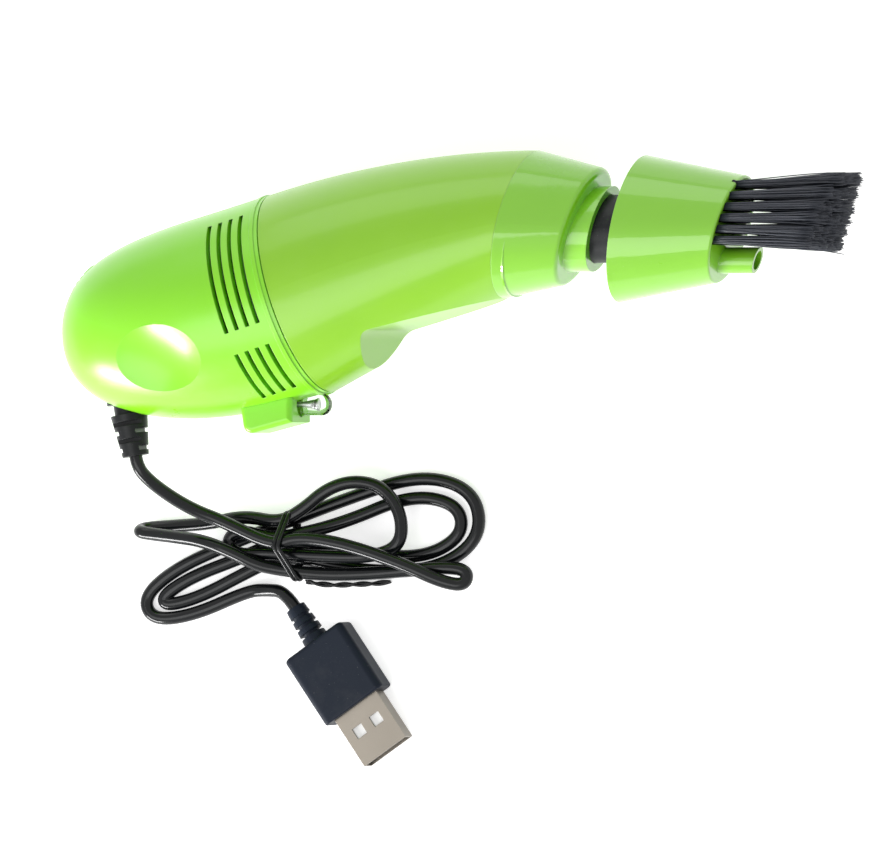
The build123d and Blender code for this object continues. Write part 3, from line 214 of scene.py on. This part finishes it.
# Tie: two soft cores side by side round the waist, their ends twisted together and laid on the table.
# Its ring runs round the outermost strands, and its cores lean, more below the waist than above it.
tie = {
    "ring": (
        (firstPass, layerMid), (secondPass, layerLow), (fourthPass, layerLow),
        (fourthPass, layerMid), (0.0, layerHigh),
    ),
    "radius": 0.5,
    "gap": 0.25,
    "cornerSteps": 6,
    "coreSides": 12,
    "shift": 1.2,
    "slantAbove": 0.15,
    "slantBelow": -0.42,
    "tail": (
        (4.4, -7.9, 1.2), (7.0, -8.5, 0.8), (11.0, -8.8, 0.75),
        (16.0, -8.6, 0.75), (21.0, -8.4, 0.75), (25.0, -7.9, 0.75),
    ),
    "tailStep": 0.5,
    "tailSides": 8,
    "tailSpread": 0.3,
    "tailRadius": 0.38,
    "twistPitch": 9.0,
}
standOff = cord["diameter"] / 2 + tie["gap"] + tie["radius"]
ring = tie["ring"]
ringPath = []
for index, corner in enumerate(ring):
    before = Vector(corner) - Vector(ring[index - 1])
    after = Vector(ring[(index + 1) % len(ring)]) - Vector(corner)
    first = before.angle_signed(Vector((1, 0))) - pi / 2
    bend = before.angle_signed(after)
    for step in range(tie["cornerSteps"] + 1):
        spin = first - bend * step / tie["cornerSteps"]
        ringPath.append((corner[0] + standOff * cos(spin), corner[1] + standOff * sin(spin)))
mesh = bmesh.new()
for side in (-1, 1):
    spots = []
    for y, z in ringPath:
        slant = tie["slantAbove"] if y > 0 else tie["slantBelow"]
        spots.append(Vector(atWaist((tie["shift"] + side * tie["radius"] + y * slant, y, z))) * mm)
    sweepRound(mesh, spots, [tie["radius"] * mm] * len(spots), tie["coreSides"], closed=True)
tail = [Vector(atWaist(point)) for point in tie["tail"]]
for phase in (0, pi):
    spots = []
    walked = 0.0
    for first, second in zip(tail, tail[1:]):
        run = (second - first).length
        steps = max(2, round(run / tie["tailStep"]))
        for step in range(steps):
            spot = first.lerp(second, step / steps)
            spin = 2 * pi * (walked + run * step / steps) / tie["twistPitch"] + phase
            spots.append((spot + Vector((0, cos(spin), sin(spin))) * tie["tailSpread"]) * mm)
        walked += run
    sweepRound(mesh, spots, [tie["tailRadius"] * mm] * len(spots), tie["tailSides"])
tieWrap = meshPiece("tieWrap", mesh, "housing")
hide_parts("cord_tie")
print("tie made")

# Bristles: every row is a strip in its groove with tufts of fine strands that fan, bend and stray a little
bristles = {
    "faceTop": (67.0, 28.0),
    "faceBottom": (59.6, 4.3),
    "faceHalfWidth": 12.0,
    "rows": 6,
    "firstRise": -2.7,
    "rowPitch": 2.55,
    "edge": 1.9,
    "stripHeight": 1.8,
    "stripDepth": 1.3,
    "stripInset": 0.3,
    "stripRound": 0.12,
    "stripRoundSteps": 2,
    "tuftPitch": 2.5,
    "tuftRadius": 0.88,
    "tuftLean": 0.35,
    "tuftFan": 1.06,
    "tipTop": (93.4, 26.8),
    "tipBottom": (89.0, 12.9),
    "tipDome": 0.36,
    "tipScatter": 0.28,
    "tipTaper": 0.75,
    "strandsPerTuft": 30,
    "strandTurn": 2.39996,
    "strandRadius": 0.13,
    "strandSides": 5,
    "strandSteps": 6,
    "strandFan": 1.45,
    "shortest": 0.95,
    "bend": 0.5,
    "bendGain": 2.2,
    "strayShare": 0.08,
    "strayFactor": 3.0,
    "seed": 41,
}
faceTop = Vector((*bristles["faceTop"], lie))
faceBottom = Vector((*bristles["faceBottom"], lie))
faceRise = (faceTop - faceBottom).normalized()
faceAhead = faceRise.cross(up)
faceMiddle = (faceTop + faceBottom) / 2
faceHalfHeight = (faceTop - faceBottom).length / 2
chance = random.Random(bristles["seed"])


def onFace(rise, side, ahead):
    return faceMiddle + faceRise * rise + up * side + faceAhead * ahead


def addStrip(mesh, rise, halfWidth):
    # The row's holder: a box with rounded edges, sunk into the brush face, in the second material
    stripEnd = halfWidth + bristles["edge"] / 2
    corners = [
        mesh.verts.new(onFace(rise + high * bristles["stripHeight"] / 2, wide * stripEnd, -depth) * mm)
        for depth in (bristles["stripDepth"], bristles["stripInset"])
        for high, wide in ((-1, -1), (1, -1), (1, 1), (-1, 1))
    ]
    for side in ((3, 2, 1, 0), (4, 5, 6, 7), (0, 1, 5, 4), (1, 2, 6, 5), (2, 3, 7, 6), (3, 0, 4, 7)):
        mesh.faces.new([corners[index] for index in side])
    bmesh.ops.bevel(
        mesh,
        geom=list(mesh.edges),
        offset=bristles["stripRound"] * mm,
        segments=bristles["stripRoundSteps"],
        affect="EDGES",
    )
    for face in mesh.faces:
        face.material_index = 1


def addTuft(mesh, rise, side, tipX, tipY):
    # Strands packed in a spiral at the root, each with its own length, stray and bow
    lean = (
        chance.uniform(-bristles["tuftLean"], bristles["tuftLean"]),
        chance.uniform(-bristles["tuftLean"], bristles["tuftLean"]),
    )
    for strand in range(bristles["strandsPerTuft"]):
        radius = bristles["tuftRadius"] * sqrt((strand + 0.5) / bristles["strandsPerTuft"])
        spin = strand * bristles["strandTurn"]
        riseStep = radius * cos(spin)
        sideStep = radius * sin(spin)
        root = onFace(rise + riseStep, side + sideStep, -bristles["stripDepth"] / 2)
        length = chance.uniform(bristles["shortest"], 1.0)
        stray = bristles["strayFactor"] if chance.random() < bristles["strayShare"] else 1.0
        scatter = [chance.gauss(0, bristles["tipScatter"]) * stray for axis in range(2)]
        tipSpot = Vector((
            tipX - abs(side) * bristles["tipDome"],
            tipY + riseStep * bristles["strandFan"] + lean[0] + scatter[0],
            lie + side * bristles["tuftFan"] + sideStep * bristles["strandFan"] + lean[1] + scatter[1],
        ))
        tipSpot = root + (tipSpot - root) * length
        bow = Vector((0, *(chance.gauss(0, bristles["bend"]) * stray for axis in range(2))))
        spots = []
        radii = []
        for step in range(bristles["strandSteps"] + 1):
            part = step / bristles["strandSteps"]
            taper = 1.0 if step < bristles["strandSteps"] else bristles["tipTaper"]
            bowed = bow * part * part * (1 - part) * bristles["bendGain"]
            spots.append((root.lerp(tipSpot, part) + bowed) * mm)
            radii.append(bristles["strandRadius"] * mm * taper)
        sweepRound(mesh, spots, radii, bristles["strandSides"])


rises = [bristles["firstRise"] + bristles["rowPitch"] * row for row in range(bristles["rows"])]
bristlePieces = []
for row, rise in enumerate(rises):
    share = (rise - rises[0]) / (rises[-1] - rises[0])
    tipX, tipY = (low + (high - low) * share for low, high in zip(bristles["tipBottom"], bristles["tipTop"]))
    halfWidth = bristles["faceHalfWidth"] * sqrt(1 - (rise / faceHalfHeight) ** 2) - bristles["edge"]
    tufts = max(2, round(2 * halfWidth / bristles["tuftPitch"]) + 1)
    spacing = 2 * halfWidth / (tufts - 1)
    mesh = bmesh.new()
    addStrip(mesh, rise, halfWidth)
    for tuft in range(tufts):
        addTuft(mesh, rise, -halfWidth + spacing * tuft, tipX, tipY)
    piece = meshPiece("bristleRow%d" % (row + 1), mesh, "brush")
    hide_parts("bristle_row_%d" % (row + 1))
    bristlePieces.append(piece)
print("bristles made:", len(bristlePieces), "rows")

# Inside the clear lamp: its two posts, which lean together, and the cup at the top of one of them.
# A profile gives places along the post or the lamp, each with its share of the radius.
lampInner = {
    "tip": (-31.2, -22.4),
    "length": 8.6,
    "start": 0.1,
    "posts": ((-1, 5.4), (1, 4.9)),
    "pitch": 1.27,
    "lean": 0.35,
    "postRadius": 0.5,
    "postProfile": ((0, 0.5), (0.3, 0.5), (0.6, 0.8), (0.85, 1.1), (1.0, 0.9)),
    "postSides": 8,
    "cupAside": 0.5,
    "cupRadius": 0.85,
    "cupProfile": ((4.9, 0.7), (5.3, 0.85), (5.8, 1.0), (5.75, 0.85), (5.45, 0.45)),
    "cupSides": 16,
}
lampTip, lampRise = lampInner["tip"]
lampBase = lampTip - lampInner["length"]
mesh = bmesh.new()
for side, height in lampInner["posts"]:
    spots = []
    radii = []
    for part, wide in lampInner["postProfile"]:
        aside = side * lampInner["pitch"] * (1 - lampInner["lean"] * part)
        spots.append(Vector((lampBase + lampInner["start"] + height * part, lampRise, lie + aside)) * mm)
        radii.append(lampInner["postRadius"] * wide * mm)
    sweepRound(mesh, spots, radii, lampInner["postSides"])
cupBeside = lie - lampInner["cupAside"]
spots = [Vector((lampBase + x, lampRise, cupBeside)) * mm for x, wide in lampInner["cupProfile"]]
radii = [lampInner["cupRadius"] * wide * mm for x, wide in lampInner["cupProfile"]]
sweepRound(mesh, spots, radii, lampInner["cupSides"])
lampPosts = meshPiece("lampPosts", mesh, "housing")
print("lamp posts made")


def newGroup(name, inputs, outputs):
    group = bpy.data.node_groups.new(name, "ShaderNodeTree")
    for direction, sockets in (("INPUT", inputs), ("OUTPUT", outputs)):
        for label, kind in sockets.items():
            group.interface.new_socket(name=label, in_out=direction, socket_type=kind)
    return group, group.nodes.new("NodeGroupInput").outputs, group.nodes.new("NodeGroupOutput").inputs


def feed(tree, socket, value):
    # A number or a colour is set on the socket itself, and an output is linked to it
    if isinstance(value, tuple):
        socket.default_value = (*value, 1.0)
    elif isinstance(value, (int, float)):
        socket.default_value = value
    else:
        tree.links.new(value, socket)


def feedAll(tree, node, values):
    for label, value in values.items():
        feed(tree, node.inputs[label], value)


def mathNode(tree, operation, *values, clamp=False):
    node = tree.nodes.new("ShaderNodeMath")
    node.operation = operation
    node.use_clamp = clamp
    for index, value in enumerate(values):
        feed(tree, node.inputs[index], value)
    return node.outputs[0]


def noiseNode(tree, vector, scale, detail=2.0, roughness=0.5):
    node = tree.nodes.new("ShaderNodeTexNoise")
    feedAll(tree, node, {"Vector": vector, "Scale": scale, "Detail": detail, "Roughness": roughness})
    return node.outputs["Fac"]


def mixNode(tree, kind, share, first, second):
    # Each kind of mix has its two values and its result on sockets of its own
    firstIndex, secondIndex, resultIndex = {"VECTOR": (4, 5, 1), "RGBA": (6, 7, 2)}[kind]
    node = tree.nodes.new("ShaderNodeMix")
    node.data_type = kind
    for index, value in ((0, share), (firstIndex, first), (secondIndex, second)):
        feed(tree, node.inputs[index], value)
    return node.outputs[resultIndex]


def bumpNormal(tree, values):
    node = tree.nodes.new("ShaderNodeBump")
    feedAll(tree, node, values)
    return node.outputs["Normal"]


# Moulded skin: a slow ripple as polished moulds leave it, with a fine grain on top
skinNoise = {
    "grain": {"detail": 3.0, "roughness": 0.6},
    "ripple": {"detail": 1.0, "roughness": 0.4},
    "blotch": {"scale": 55.0, "detail": 5.0, "roughness": 0.62},
}
mouldedSkin, given, result = newGroup(
    "mouldedSkin",
    {
        "Place": "NodeSocketVector", "Grain Scale": "NodeSocketFloat",
        "Ripple Scale": "NodeSocketFloat", "Grain Share": "NodeSocketFloat",
    },
    {"Height": "NodeSocketFloat", "Blotch": "NodeSocketFloat"},
)
grain = noiseNode(mouldedSkin, given["Place"], given["Grain Scale"], **skinNoise["grain"])
ripple = noiseNode(mouldedSkin, given["Place"], given["Ripple Scale"], **skinNoise["ripple"])
grainPart = mathNode(mouldedSkin, "MULTIPLY", grain, given["Grain Share"])
feed(mouldedSkin, result["Height"], mathNode(mouldedSkin, "ADD", grainPart, ripple))
feed(mouldedSkin, result["Blotch"], noiseNode(mouldedSkin, given["Place"], **skinNoise["blotch"]))

# Edge wear: the rounded normal leaves the true one only along edges. The mask is that difference, broken
# up by a noise, and the normal that goes on is the rounded one near an edge and the true one elsewhere.
wearShape = {
    "samples": 4,
    "edgeFrom": 0.03,
    "edgeGain": 12.0,
    "maskGain": 5.0,
    "noise": {"scale": 700.0, "detail": 4.0, "roughness": 0.7},
    "roughen": 0.15,
}
edgeWear, given, result = newGroup(
    "edgeWear",
    {"Place": "NodeSocketVector", "Width": "NodeSocketFloat", "Amount": "NodeSocketFloat"},
    {"Mask": "NodeSocketFloat", "Normal": "NodeSocketVector"},
)
rounded = edgeWear.nodes.new("ShaderNodeBevel")
rounded.samples = wearShape["samples"]
feed(edgeWear, rounded.inputs["Radius"], given["Width"])
surface = edgeWear.nodes.new("ShaderNodeNewGeometry")
dot = edgeWear.nodes.new("ShaderNodeVectorMath")
dot.operation = "DOT_PRODUCT"
feed(edgeWear, dot.inputs[0], rounded.outputs["Normal"])
feed(edgeWear, dot.inputs[1], surface.outputs["Normal"])
away = mathNode(edgeWear, "SUBTRACT", 1.0, dot.outputs["Value"])
pastFlat = mathNode(edgeWear, "SUBTRACT", away, wearShape["edgeFrom"])
nearEdge = mathNode(edgeWear, "MULTIPLY", pastFlat, wearShape["edgeGain"], clamp=True)
softened = mixNode(edgeWear, "VECTOR", nearEdge, surface.outputs["Normal"], rounded.outputs["Normal"])
feed(edgeWear, result["Normal"], softened)
broken = noiseNode(edgeWear, given["Place"], **wearShape["noise"])
worn = mathNode(edgeWear, "MULTIPLY", mathNode(edgeWear, "MULTIPLY", away, wearShape["maskGain"]), broken)
feed(edgeWear, result["Mask"], mathNode(edgeWear, "MULTIPLY", worn, given["Amount"], clamp=True))

# Fine dust: sparse specks over a thin, patchy film
dustShape = {
    "film": {"scale": 90.0, "detail": 6.0, "roughness": 0.7},
    "filmFrom": 0.5,
    "filmGain": 2.0,
    "filmShare": 0.35,
    "specks": {"scale": 2600.0, "detail": 1.0, "roughness": 0.5},
    "speckFrom": 0.73,
    "speckGain": 9.0,
    "colour": (0.62, 0.6, 0.56),
    "roughen": 0.5,
}
fineDust, given, result = newGroup(
    "fineDust",
    {"Place": "NodeSocketVector", "Amount": "NodeSocketFloat"},
    {"Mask": "NodeSocketFloat"},
)
film = noiseNode(fineDust, given["Place"], **dustShape["film"])
specks = noiseNode(fineDust, given["Place"], **dustShape["specks"])
speckRise = mathNode(fineDust, "SUBTRACT", specks, dustShape["speckFrom"])
speckMask = mathNode(fineDust, "MULTIPLY", speckRise, dustShape["speckGain"], clamp=True)
filmRise = mathNode(fineDust, "SUBTRACT", film, dustShape["filmFrom"])
filmMask = mathNode(fineDust, "MULTIPLY", filmRise, dustShape["filmGain"], clamp=True)
thinFilm = mathNode(fineDust, "MULTIPLY", filmMask, dustShape["filmShare"])
dusty = mathNode(fineDust, "ADD", speckMask, thinFilm)
feed(fineDust, result["Mask"], mathNode(fineDust, "MULTIPLY", dusty, given["Amount"], clamp=True))
print("shared effects built")


def placeGroup(tree, group, values):
    node = tree.nodes.new("ShaderNodeGroup")
    node.node_tree = group
    feedAll(tree, node, values)
    return node.outputs


def startMaterial(name):
    material = bpy.data.materials.new(name)
    material.use_nodes = True
    tree = material.node_tree
    shader = tree.nodes["Principled BSDF"]
    place = tree.nodes.new("ShaderNodeTexCoord").outputs["Object"]
    return material, tree, shader, place


def surfaceFinish(name, look):
    # Moulded or drawn surface: blotched colour, grain and ripple, rubbed edges and a little dust
    material, tree, shader, place = startMaterial(name)
    skin = placeGroup(tree, mouldedSkin, {
        "Place": place, "Grain Scale": look["grain"],
        "Ripple Scale": look["ripple"], "Grain Share": look["grainShare"],
    })
    wear = placeGroup(tree, edgeWear, {
        "Place": place, "Width": look["wearWidth"] * mm, "Amount": look["wear"],
    })
    dust = placeGroup(tree, fineDust, {"Place": place, "Amount": look["dust"]})
    colour = mixNode(tree, "RGBA", skin["Blotch"], look["colour"], look["second"])
    colour = mixNode(tree, "RGBA", wear["Mask"], colour, look["worn"])
    colour = mixNode(tree, "RGBA", dust["Mask"], colour, dustShape["colour"])
    low, high = look["roughness"]
    rough = mathNode(tree, "MULTIPLY_ADD", skin["Blotch"], high - low, low)
    dustRough = mathNode(tree, "MULTIPLY", dust["Mask"], dustShape["roughen"])
    wearRough = mathNode(tree, "MULTIPLY", wear["Mask"], wearShape["roughen"])
    rough = mathNode(tree, "ADD", mathNode(tree, "ADD", rough, dustRough), wearRough, clamp=True)
    normal = bumpNormal(tree, {
        "Strength": look["bump"], "Distance": look["bumpDepth"] * mm,
        "Height": skin["Height"], "Normal": wear["Normal"],
    })
    feedAll(tree, shader, {
        "Base Color": colour, "Roughness": rough, "Normal": normal, "Specular IOR Level": look["specular"],
        "Metallic": look["metallic"], "Coat Weight": look["coat"], "Coat Roughness": look["coatRoughness"],
    })
    return material


plain = {"specular": 0.5, "metallic": 0.0, "coat": 0.0, "coatRoughness": 0.08}
glossPlastic = {
    **plain, "grain": 2600.0, "ripple": 90.0, "grainShare": 0.1, "bump": 0.1, "bumpDepth": 0.05,
    "roughness": (0.24, 0.34), "wear": 0.5, "wearWidth": 0.35, "dust": 0.1,
}
satinPlastic = {
    **plain, "grain": 3400.0, "ripple": 260.0, "grainShare": 0.9, "bump": 0.25, "bumpDepth": 0.03,
    "roughness": (0.38, 0.5), "wear": 0.5, "wearWidth": 0.25, "dust": 0.2, "specular": 0.3,
}
metal = {
    **plain, "grain": 1800.0, "ripple": 300.0, "grainShare": 0.8, "bump": 0.12, "bumpDepth": 0.02,
    "roughness": (0.26, 0.4), "wear": 0.6, "wearWidth": 0.2, "dust": 0.1, "metallic": 1.0,
}
looks = {
    "rearGreen": {
        **glossPlastic, "coat": 0.3, "coatRoughness": 0.24,
        "colour": (0.235, 0.72, 0.008), "second": (0.27, 0.77, 0.016), "worn": (0.46, 0.86, 0.16),
    },
    "chamberGreen": {
        **glossPlastic, "roughness": (0.3, 0.38), "coat": 0.35, "coatRoughness": 0.12,
        "colour": (0.245, 0.58, 0.008), "second": (0.285, 0.63, 0.014), "worn": (0.45, 0.8, 0.16),
    },
    "noseGreen": {
        **glossPlastic, "specular": 0.3, "coat": 1.0, "coatRoughness": 0.05,
        "colour": (0.235, 0.62, 0.022), "second": (0.27, 0.67, 0.03), "worn": (0.46, 0.84, 0.22),
    },
    "blackPlastic": {
        **satinPlastic, "roughness": (0.36, 0.46), "specular": 0.24, "bump": 0.08,
        "colour": (0.005, 0.006, 0.008), "second": (0.009, 0.01, 0.012), "worn": (0.05, 0.05, 0.06),
    },
    "cordJacket": {
        **satinPlastic, "roughness": (0.14, 0.22), "bump": 0.08, "dust": 0.05,
        "colour": (0.003, 0.004, 0.005), "second": (0.006, 0.007, 0.008), "worn": (0.02, 0.02, 0.022),
    },
    "plugRubber": {
        **satinPlastic, "roughness": (0.4, 0.52), "wearWidth": 0.4, "specular": 0.14, "dust": 0.12,
        "colour": (0.007, 0.011, 0.02), "second": (0.011, 0.016, 0.028), "worn": (0.04, 0.05, 0.07),
    },
    "reliefRubber": {
        **satinPlastic, "roughness": (0.3, 0.42), "wearWidth": 0.3, "specular": 0.22, "dust": 0.1,
        "colour": (0.004, 0.005, 0.006), "second": (0.008, 0.009, 0.01), "worn": (0.04, 0.04, 0.045),
    },
    "bristleNylon": {
        **satinPlastic, "roughness": (0.3, 0.42), "dust": 0.1, "specular": 0.6,
        "colour": (0.02, 0.025, 0.036), "second": (0.05, 0.058, 0.08), "worn": (0.07, 0.078, 0.1),
    },
    "stripPlastic": {
        **satinPlastic,
        "colour": (0.01, 0.011, 0.014), "second": (0.02, 0.02, 0.025), "worn": (0.05, 0.05, 0.06),
    },
    "brightSteel": {
        **metal,
        "colour": (0.6, 0.6, 0.6), "second": (0.5, 0.5, 0.51), "worn": (0.75, 0.75, 0.75),
    },
    "plugSteel": {
        **metal, "roughness": (0.34, 0.48),
        "colour": (0.235, 0.212, 0.18), "second": (0.2, 0.18, 0.152), "worn": (0.45, 0.43, 0.39),
    },
    "contactGold": {
        **metal,
        "colour": (0.78, 0.55, 0.2), "second": (0.66, 0.44, 0.15), "worn": (0.85, 0.65, 0.35),
    },
    "copperWire": {
        **metal,
        "colour": (0.72, 0.3, 0.14), "second": (0.55, 0.2, 0.08), "worn": (0.85, 0.45, 0.25),
    },
    "magnetBlack": {
        **satinPlastic, "roughness": (0.6, 0.8), "bump": 0.5,
        "colour": (0.03, 0.03, 0.034), "second": (0.055, 0.055, 0.06), "worn": (0.12, 0.12, 0.12),
    },
    "carbonBlock": {
        **satinPlastic, "roughness": (0.45, 0.65), "bump": 0.4,
        "colour": (0.02, 0.02, 0.021), "second": (0.04, 0.04, 0.042), "worn": (0.09, 0.09, 0.09),
    },
    "whitePlastic": {
        **satinPlastic, "roughness": (0.35, 0.45), "dust": 0.06,
        "colour": (0.84, 0.84, 0.83), "second": (0.9, 0.9, 0.89), "worn": (0.94, 0.94, 0.93),
    },
    "greyPlastic": {
        **satinPlastic,
        "colour": (0.13, 0.135, 0.145), "second": (0.18, 0.185, 0.195), "worn": (0.32, 0.32, 0.33),
    },
    "wireJacket": {
        **satinPlastic, "roughness": (0.3, 0.42),
        "colour": (0.5, 0.02, 0.015), "second": (0.58, 0.035, 0.025), "worn": (0.7, 0.2, 0.15),
    },
}
materials = {name: surfaceFinish(name, look) for name, look in looks.items()}
print("finishes built:", len(materials))

# Water-clear lamp: faint moulding swirl in its surface
lampLook = {
    "tint": (0.97, 1.0, 0.98),
    "roughness": 0.06,
    "ior": 1.52,
    "swirlScale": 420.0,
    "bump": 0.06,
    "bumpDepth": 0.05,
}
material, tree, shader, place = startMaterial("lampClear")
swirl = noiseNode(tree, place, lampLook["swirlScale"])
feedAll(tree, shader, {
    "Base Color": lampLook["tint"],
    "Transmission Weight": 1.0,
    "IOR": lampLook["ior"],
    "Roughness": mathNode(tree, "MULTIPLY", swirl, lampLook["roughness"]),
    "Normal": bumpNormal(
        tree, {"Strength": lampLook["bump"], "Distance": lampLook["bumpDepth"] * mm, "Height": swirl}
    ),
})
materials["lampClear"] = material

# Filter cloth: an open plain weave with grey dust caught in it
clothLook = {
    "thread": (0.8, 0.81, 0.79),
    "gap": (0.42, 0.42, 0.4),
    "threadsPerMetre": 1500.0,
    "dirt": (0.3, 0.29, 0.27),
    "dirtNoise": {"scale": 260.0, "detail": 5.0, "roughness": 0.7},
    "dirtShare": 0.5,
    "gapRoughness": 0.95,
    "threadSmoother": -0.1,
    "sheen": 0.2,
    "bump": 0.6,
    "bumpDepth": 0.1,
}
material, tree, shader, place = startMaterial("filterCloth")
split = tree.nodes.new("ShaderNodeSeparateXYZ")
feed(tree, split.inputs[0], place)
crossing = []
for axis in ("Y", "Z"):
    turns = mathNode(tree, "MULTIPLY", split.outputs[axis], clothLook["threadsPerMetre"] * 2 * pi)
    crossing.append(mathNode(tree, "MULTIPLY_ADD", mathNode(tree, "SINE", turns), 0.5, 0.5))
weave = mathNode(tree, "MULTIPLY", *crossing)
dirt = mathNode(tree, "MULTIPLY", noiseNode(tree, place, **clothLook["dirtNoise"]), clothLook["dirtShare"])
colour = mixNode(tree, "RGBA", weave, clothLook["gap"], clothLook["thread"])
feedAll(tree, shader, {
    "Base Color": mixNode(tree, "RGBA", dirt, colour, clothLook["dirt"]),
    "Roughness": mathNode(
        tree, "MULTIPLY_ADD", weave, clothLook["threadSmoother"], clothLook["gapRoughness"]
    ),
    "Sheen Weight": clothLook["sheen"],
    "Normal": bumpNormal(
        tree, {"Strength": clothLook["bump"], "Distance": clothLook["bumpDepth"] * mm, "Height": weave}
    ),
})
materials["filterCloth"] = material

# Resistor: sand-coloured body with plain colour bands across it, each at its place along X
bandLook = {
    "body": (0.6, 0.48, 0.27),
    "second": (0.66, 0.54, 0.33),
    "mottle": {"scale": 900.0, "detail": 3.0},
    "bands": ((-41.6, (0.02, 0.16, 0.05)), (-42.5, (0.02, 0.04, 0.3)), (-43.4, (0.35, 0.12, 0.02))),
    "bandHalfWidth": 0.2,
    "roughness": (0.3, 0.15),
}
material, tree, shader, place = startMaterial("resistorBody")
split = tree.nodes.new("ShaderNodeSeparateXYZ")
feed(tree, split.inputs[0], place)
mottle = noiseNode(tree, place, **bandLook["mottle"])
colour = mixNode(tree, "RGBA", mottle, bandLook["body"], bandLook["second"])
for x, band in bandLook["bands"]:
    near = mathNode(tree, "COMPARE", split.outputs["X"], x * mm, bandLook["bandHalfWidth"] * mm)
    colour = mixNode(tree, "RGBA", near, colour, band)
low, spread = bandLook["roughness"]
feedAll(tree, shader, {
    "Base Color": colour,
    "Roughness": mathNode(tree, "MULTIPLY_ADD", mottle, spread, low),
})
materials["resistorBody"] = material

dressing = {
    "rearGreen": ("rear_shell_right", "rear_shell_left", "lamp_housing", "switch_slider"),
    "chamberGreen": ("dust_chamber",),
    "noseGreen": ("nose_cone", "brush_head"),
    "blackPlastic": ("coupling_tube",),
    "cordJacket": ("cord_lead", "cord_hank", "cord_tail", "cord_tie"),
    "plugRubber": ("plug_overmould",),
    "reliefRubber": ("strain_relief",),
    "bristleNylon": tuple("bristle_row_%d" % (row + 1) for row in range(bristles["rows"])),
    "brightSteel": (
        "switch_pins", "housing_screws", "led_leads", "motor_can", "armature_core", "motor_shaft",
    ),
    "plugSteel": ("plug_shell",),
    "contactGold": ("motor_bushes", "motor_terminals", "plug_contacts"),
    "copperWire": ("armature_windings", "commutator"),
    "magnetBlack": ("motor_magnets",),
    "carbonBlock": ("motor_brushes",),
    "whitePlastic": ("motor_end_cap", "plug_insulator"),
    "greyPlastic": ("switch_body", "fan_cover", "filter_frame", "impeller", "fan_back_plate"),
    "wireJacket": ("supply_wires",),
    "lampClear": ("led_bulb",),
    "filterCloth": ("filter_cloth",),
    "resistorBody": ("lamp_resistor",),
}
for finish, names in dressing.items():
    for name in names:
        piece = nodes[name]
        if not piece.material_slots:
            piece.data.materials.append(None)
        for materialSlot in piece.material_slots:
            materialSlot.material = materials[finish]
for piece in bristlePieces:
    piece.data.materials.append(materials["bristleNylon"])
    piece.data.materials.append(materials["stripPlastic"])
cordCurve.materials.append(materials["cordJacket"])
tieWrap.data.materials.append(materials["cordJacket"])
lampPosts.data.materials.append(materials["brightSteel"])
print("finishes placed on", sum(len(names) for names in dressing.values()), "nodes")

# Floor, soft lamps and sky, in metres. Floor and sky are lifted to white for the rays that the camera sees,
# straight, mirrored or through the clear lamp, and the floor keeps the cleaner's shadow.
floorLook = {"size": 6.0, "colour": 0.9, "roughness": 0.9, "specular": 0.1, "lift": 0.62}
lamps = {
    "strip": {"from": (-0.2, -0.44, 0.87), "distance": 0.8, "size": (0.7, 0.42), "power": 2.5},
    "low": {"from": (-0.66, -0.73, 0.2), "distance": 0.8, "size": (0.4, 0.16), "power": 7.0},
    "top": {"from": (-0.22, 0.87, 0.42), "distance": 0.85, "size": (0.7, 0.5), "power": 1.5},
}
sky = {"strength": 0.49}


def seenShare(tree):
    rays = tree.nodes.new("ShaderNodeLightPath").outputs
    seen = mathNode(tree, "ADD", rays["Is Camera Ray"], rays["Is Glossy Ray"])
    return mathNode(tree, "ADD", seen, rays["Is Transmission Ray"], clamp=True)


mesh = bmesh.new()
half = floorLook["size"] / 2
mesh.faces.new([mesh.verts.new((x * half, y * half, 0)) for x, y in ((-1, -1), (1, -1), (1, 1), (-1, 1))])
floorData = bpy.data.meshes.new("floor")
mesh.to_mesh(floorData)
mesh.free()
floor = bpy.data.objects.new("floor", floorData)
scene.collection.objects.link(floor)
material, tree, shader, place = startMaterial("floorPaper")
feedAll(tree, shader, {
    "Base Color": (floorLook["colour"],) * 3,
    "Roughness": floorLook["roughness"],
    "Specular IOR Level": floorLook["specular"],
    "Emission Color": (1, 1, 1),
    "Emission Strength": mathNode(tree, "MULTIPLY", seenShare(tree), floorLook["lift"]),
})
floor.data.materials.append(material)

for name, facts in lamps.items():
    lampData = bpy.data.lights.new(name, "AREA")
    lampData.shape = "RECTANGLE"
    lampData.size, lampData.size_y = facts["size"]
    lampData.energy = facts["power"]
    lamp = bpy.data.objects.new(name, lampData)
    scene.collection.objects.link(lamp)
    lamp.location = Vector(facts["from"]).normalized() * facts["distance"]
    lamp.rotation_euler = (-Vector(facts["from"])).to_track_quat("-Z", "Y").to_euler()

world = bpy.data.worlds.new("studio")
scene.world = world
world.use_nodes = True
tree = world.node_tree
feedAll(tree, tree.nodes["Background"], {
    "Color": (1, 1, 1),
    "Strength": mathNode(tree, "MULTIPLY_ADD", seenShare(tree), 1.0 - sky["strength"], sky["strength"]),
})
scene.view_settings.view_transform = "Standard"
print("stage and lamps set")
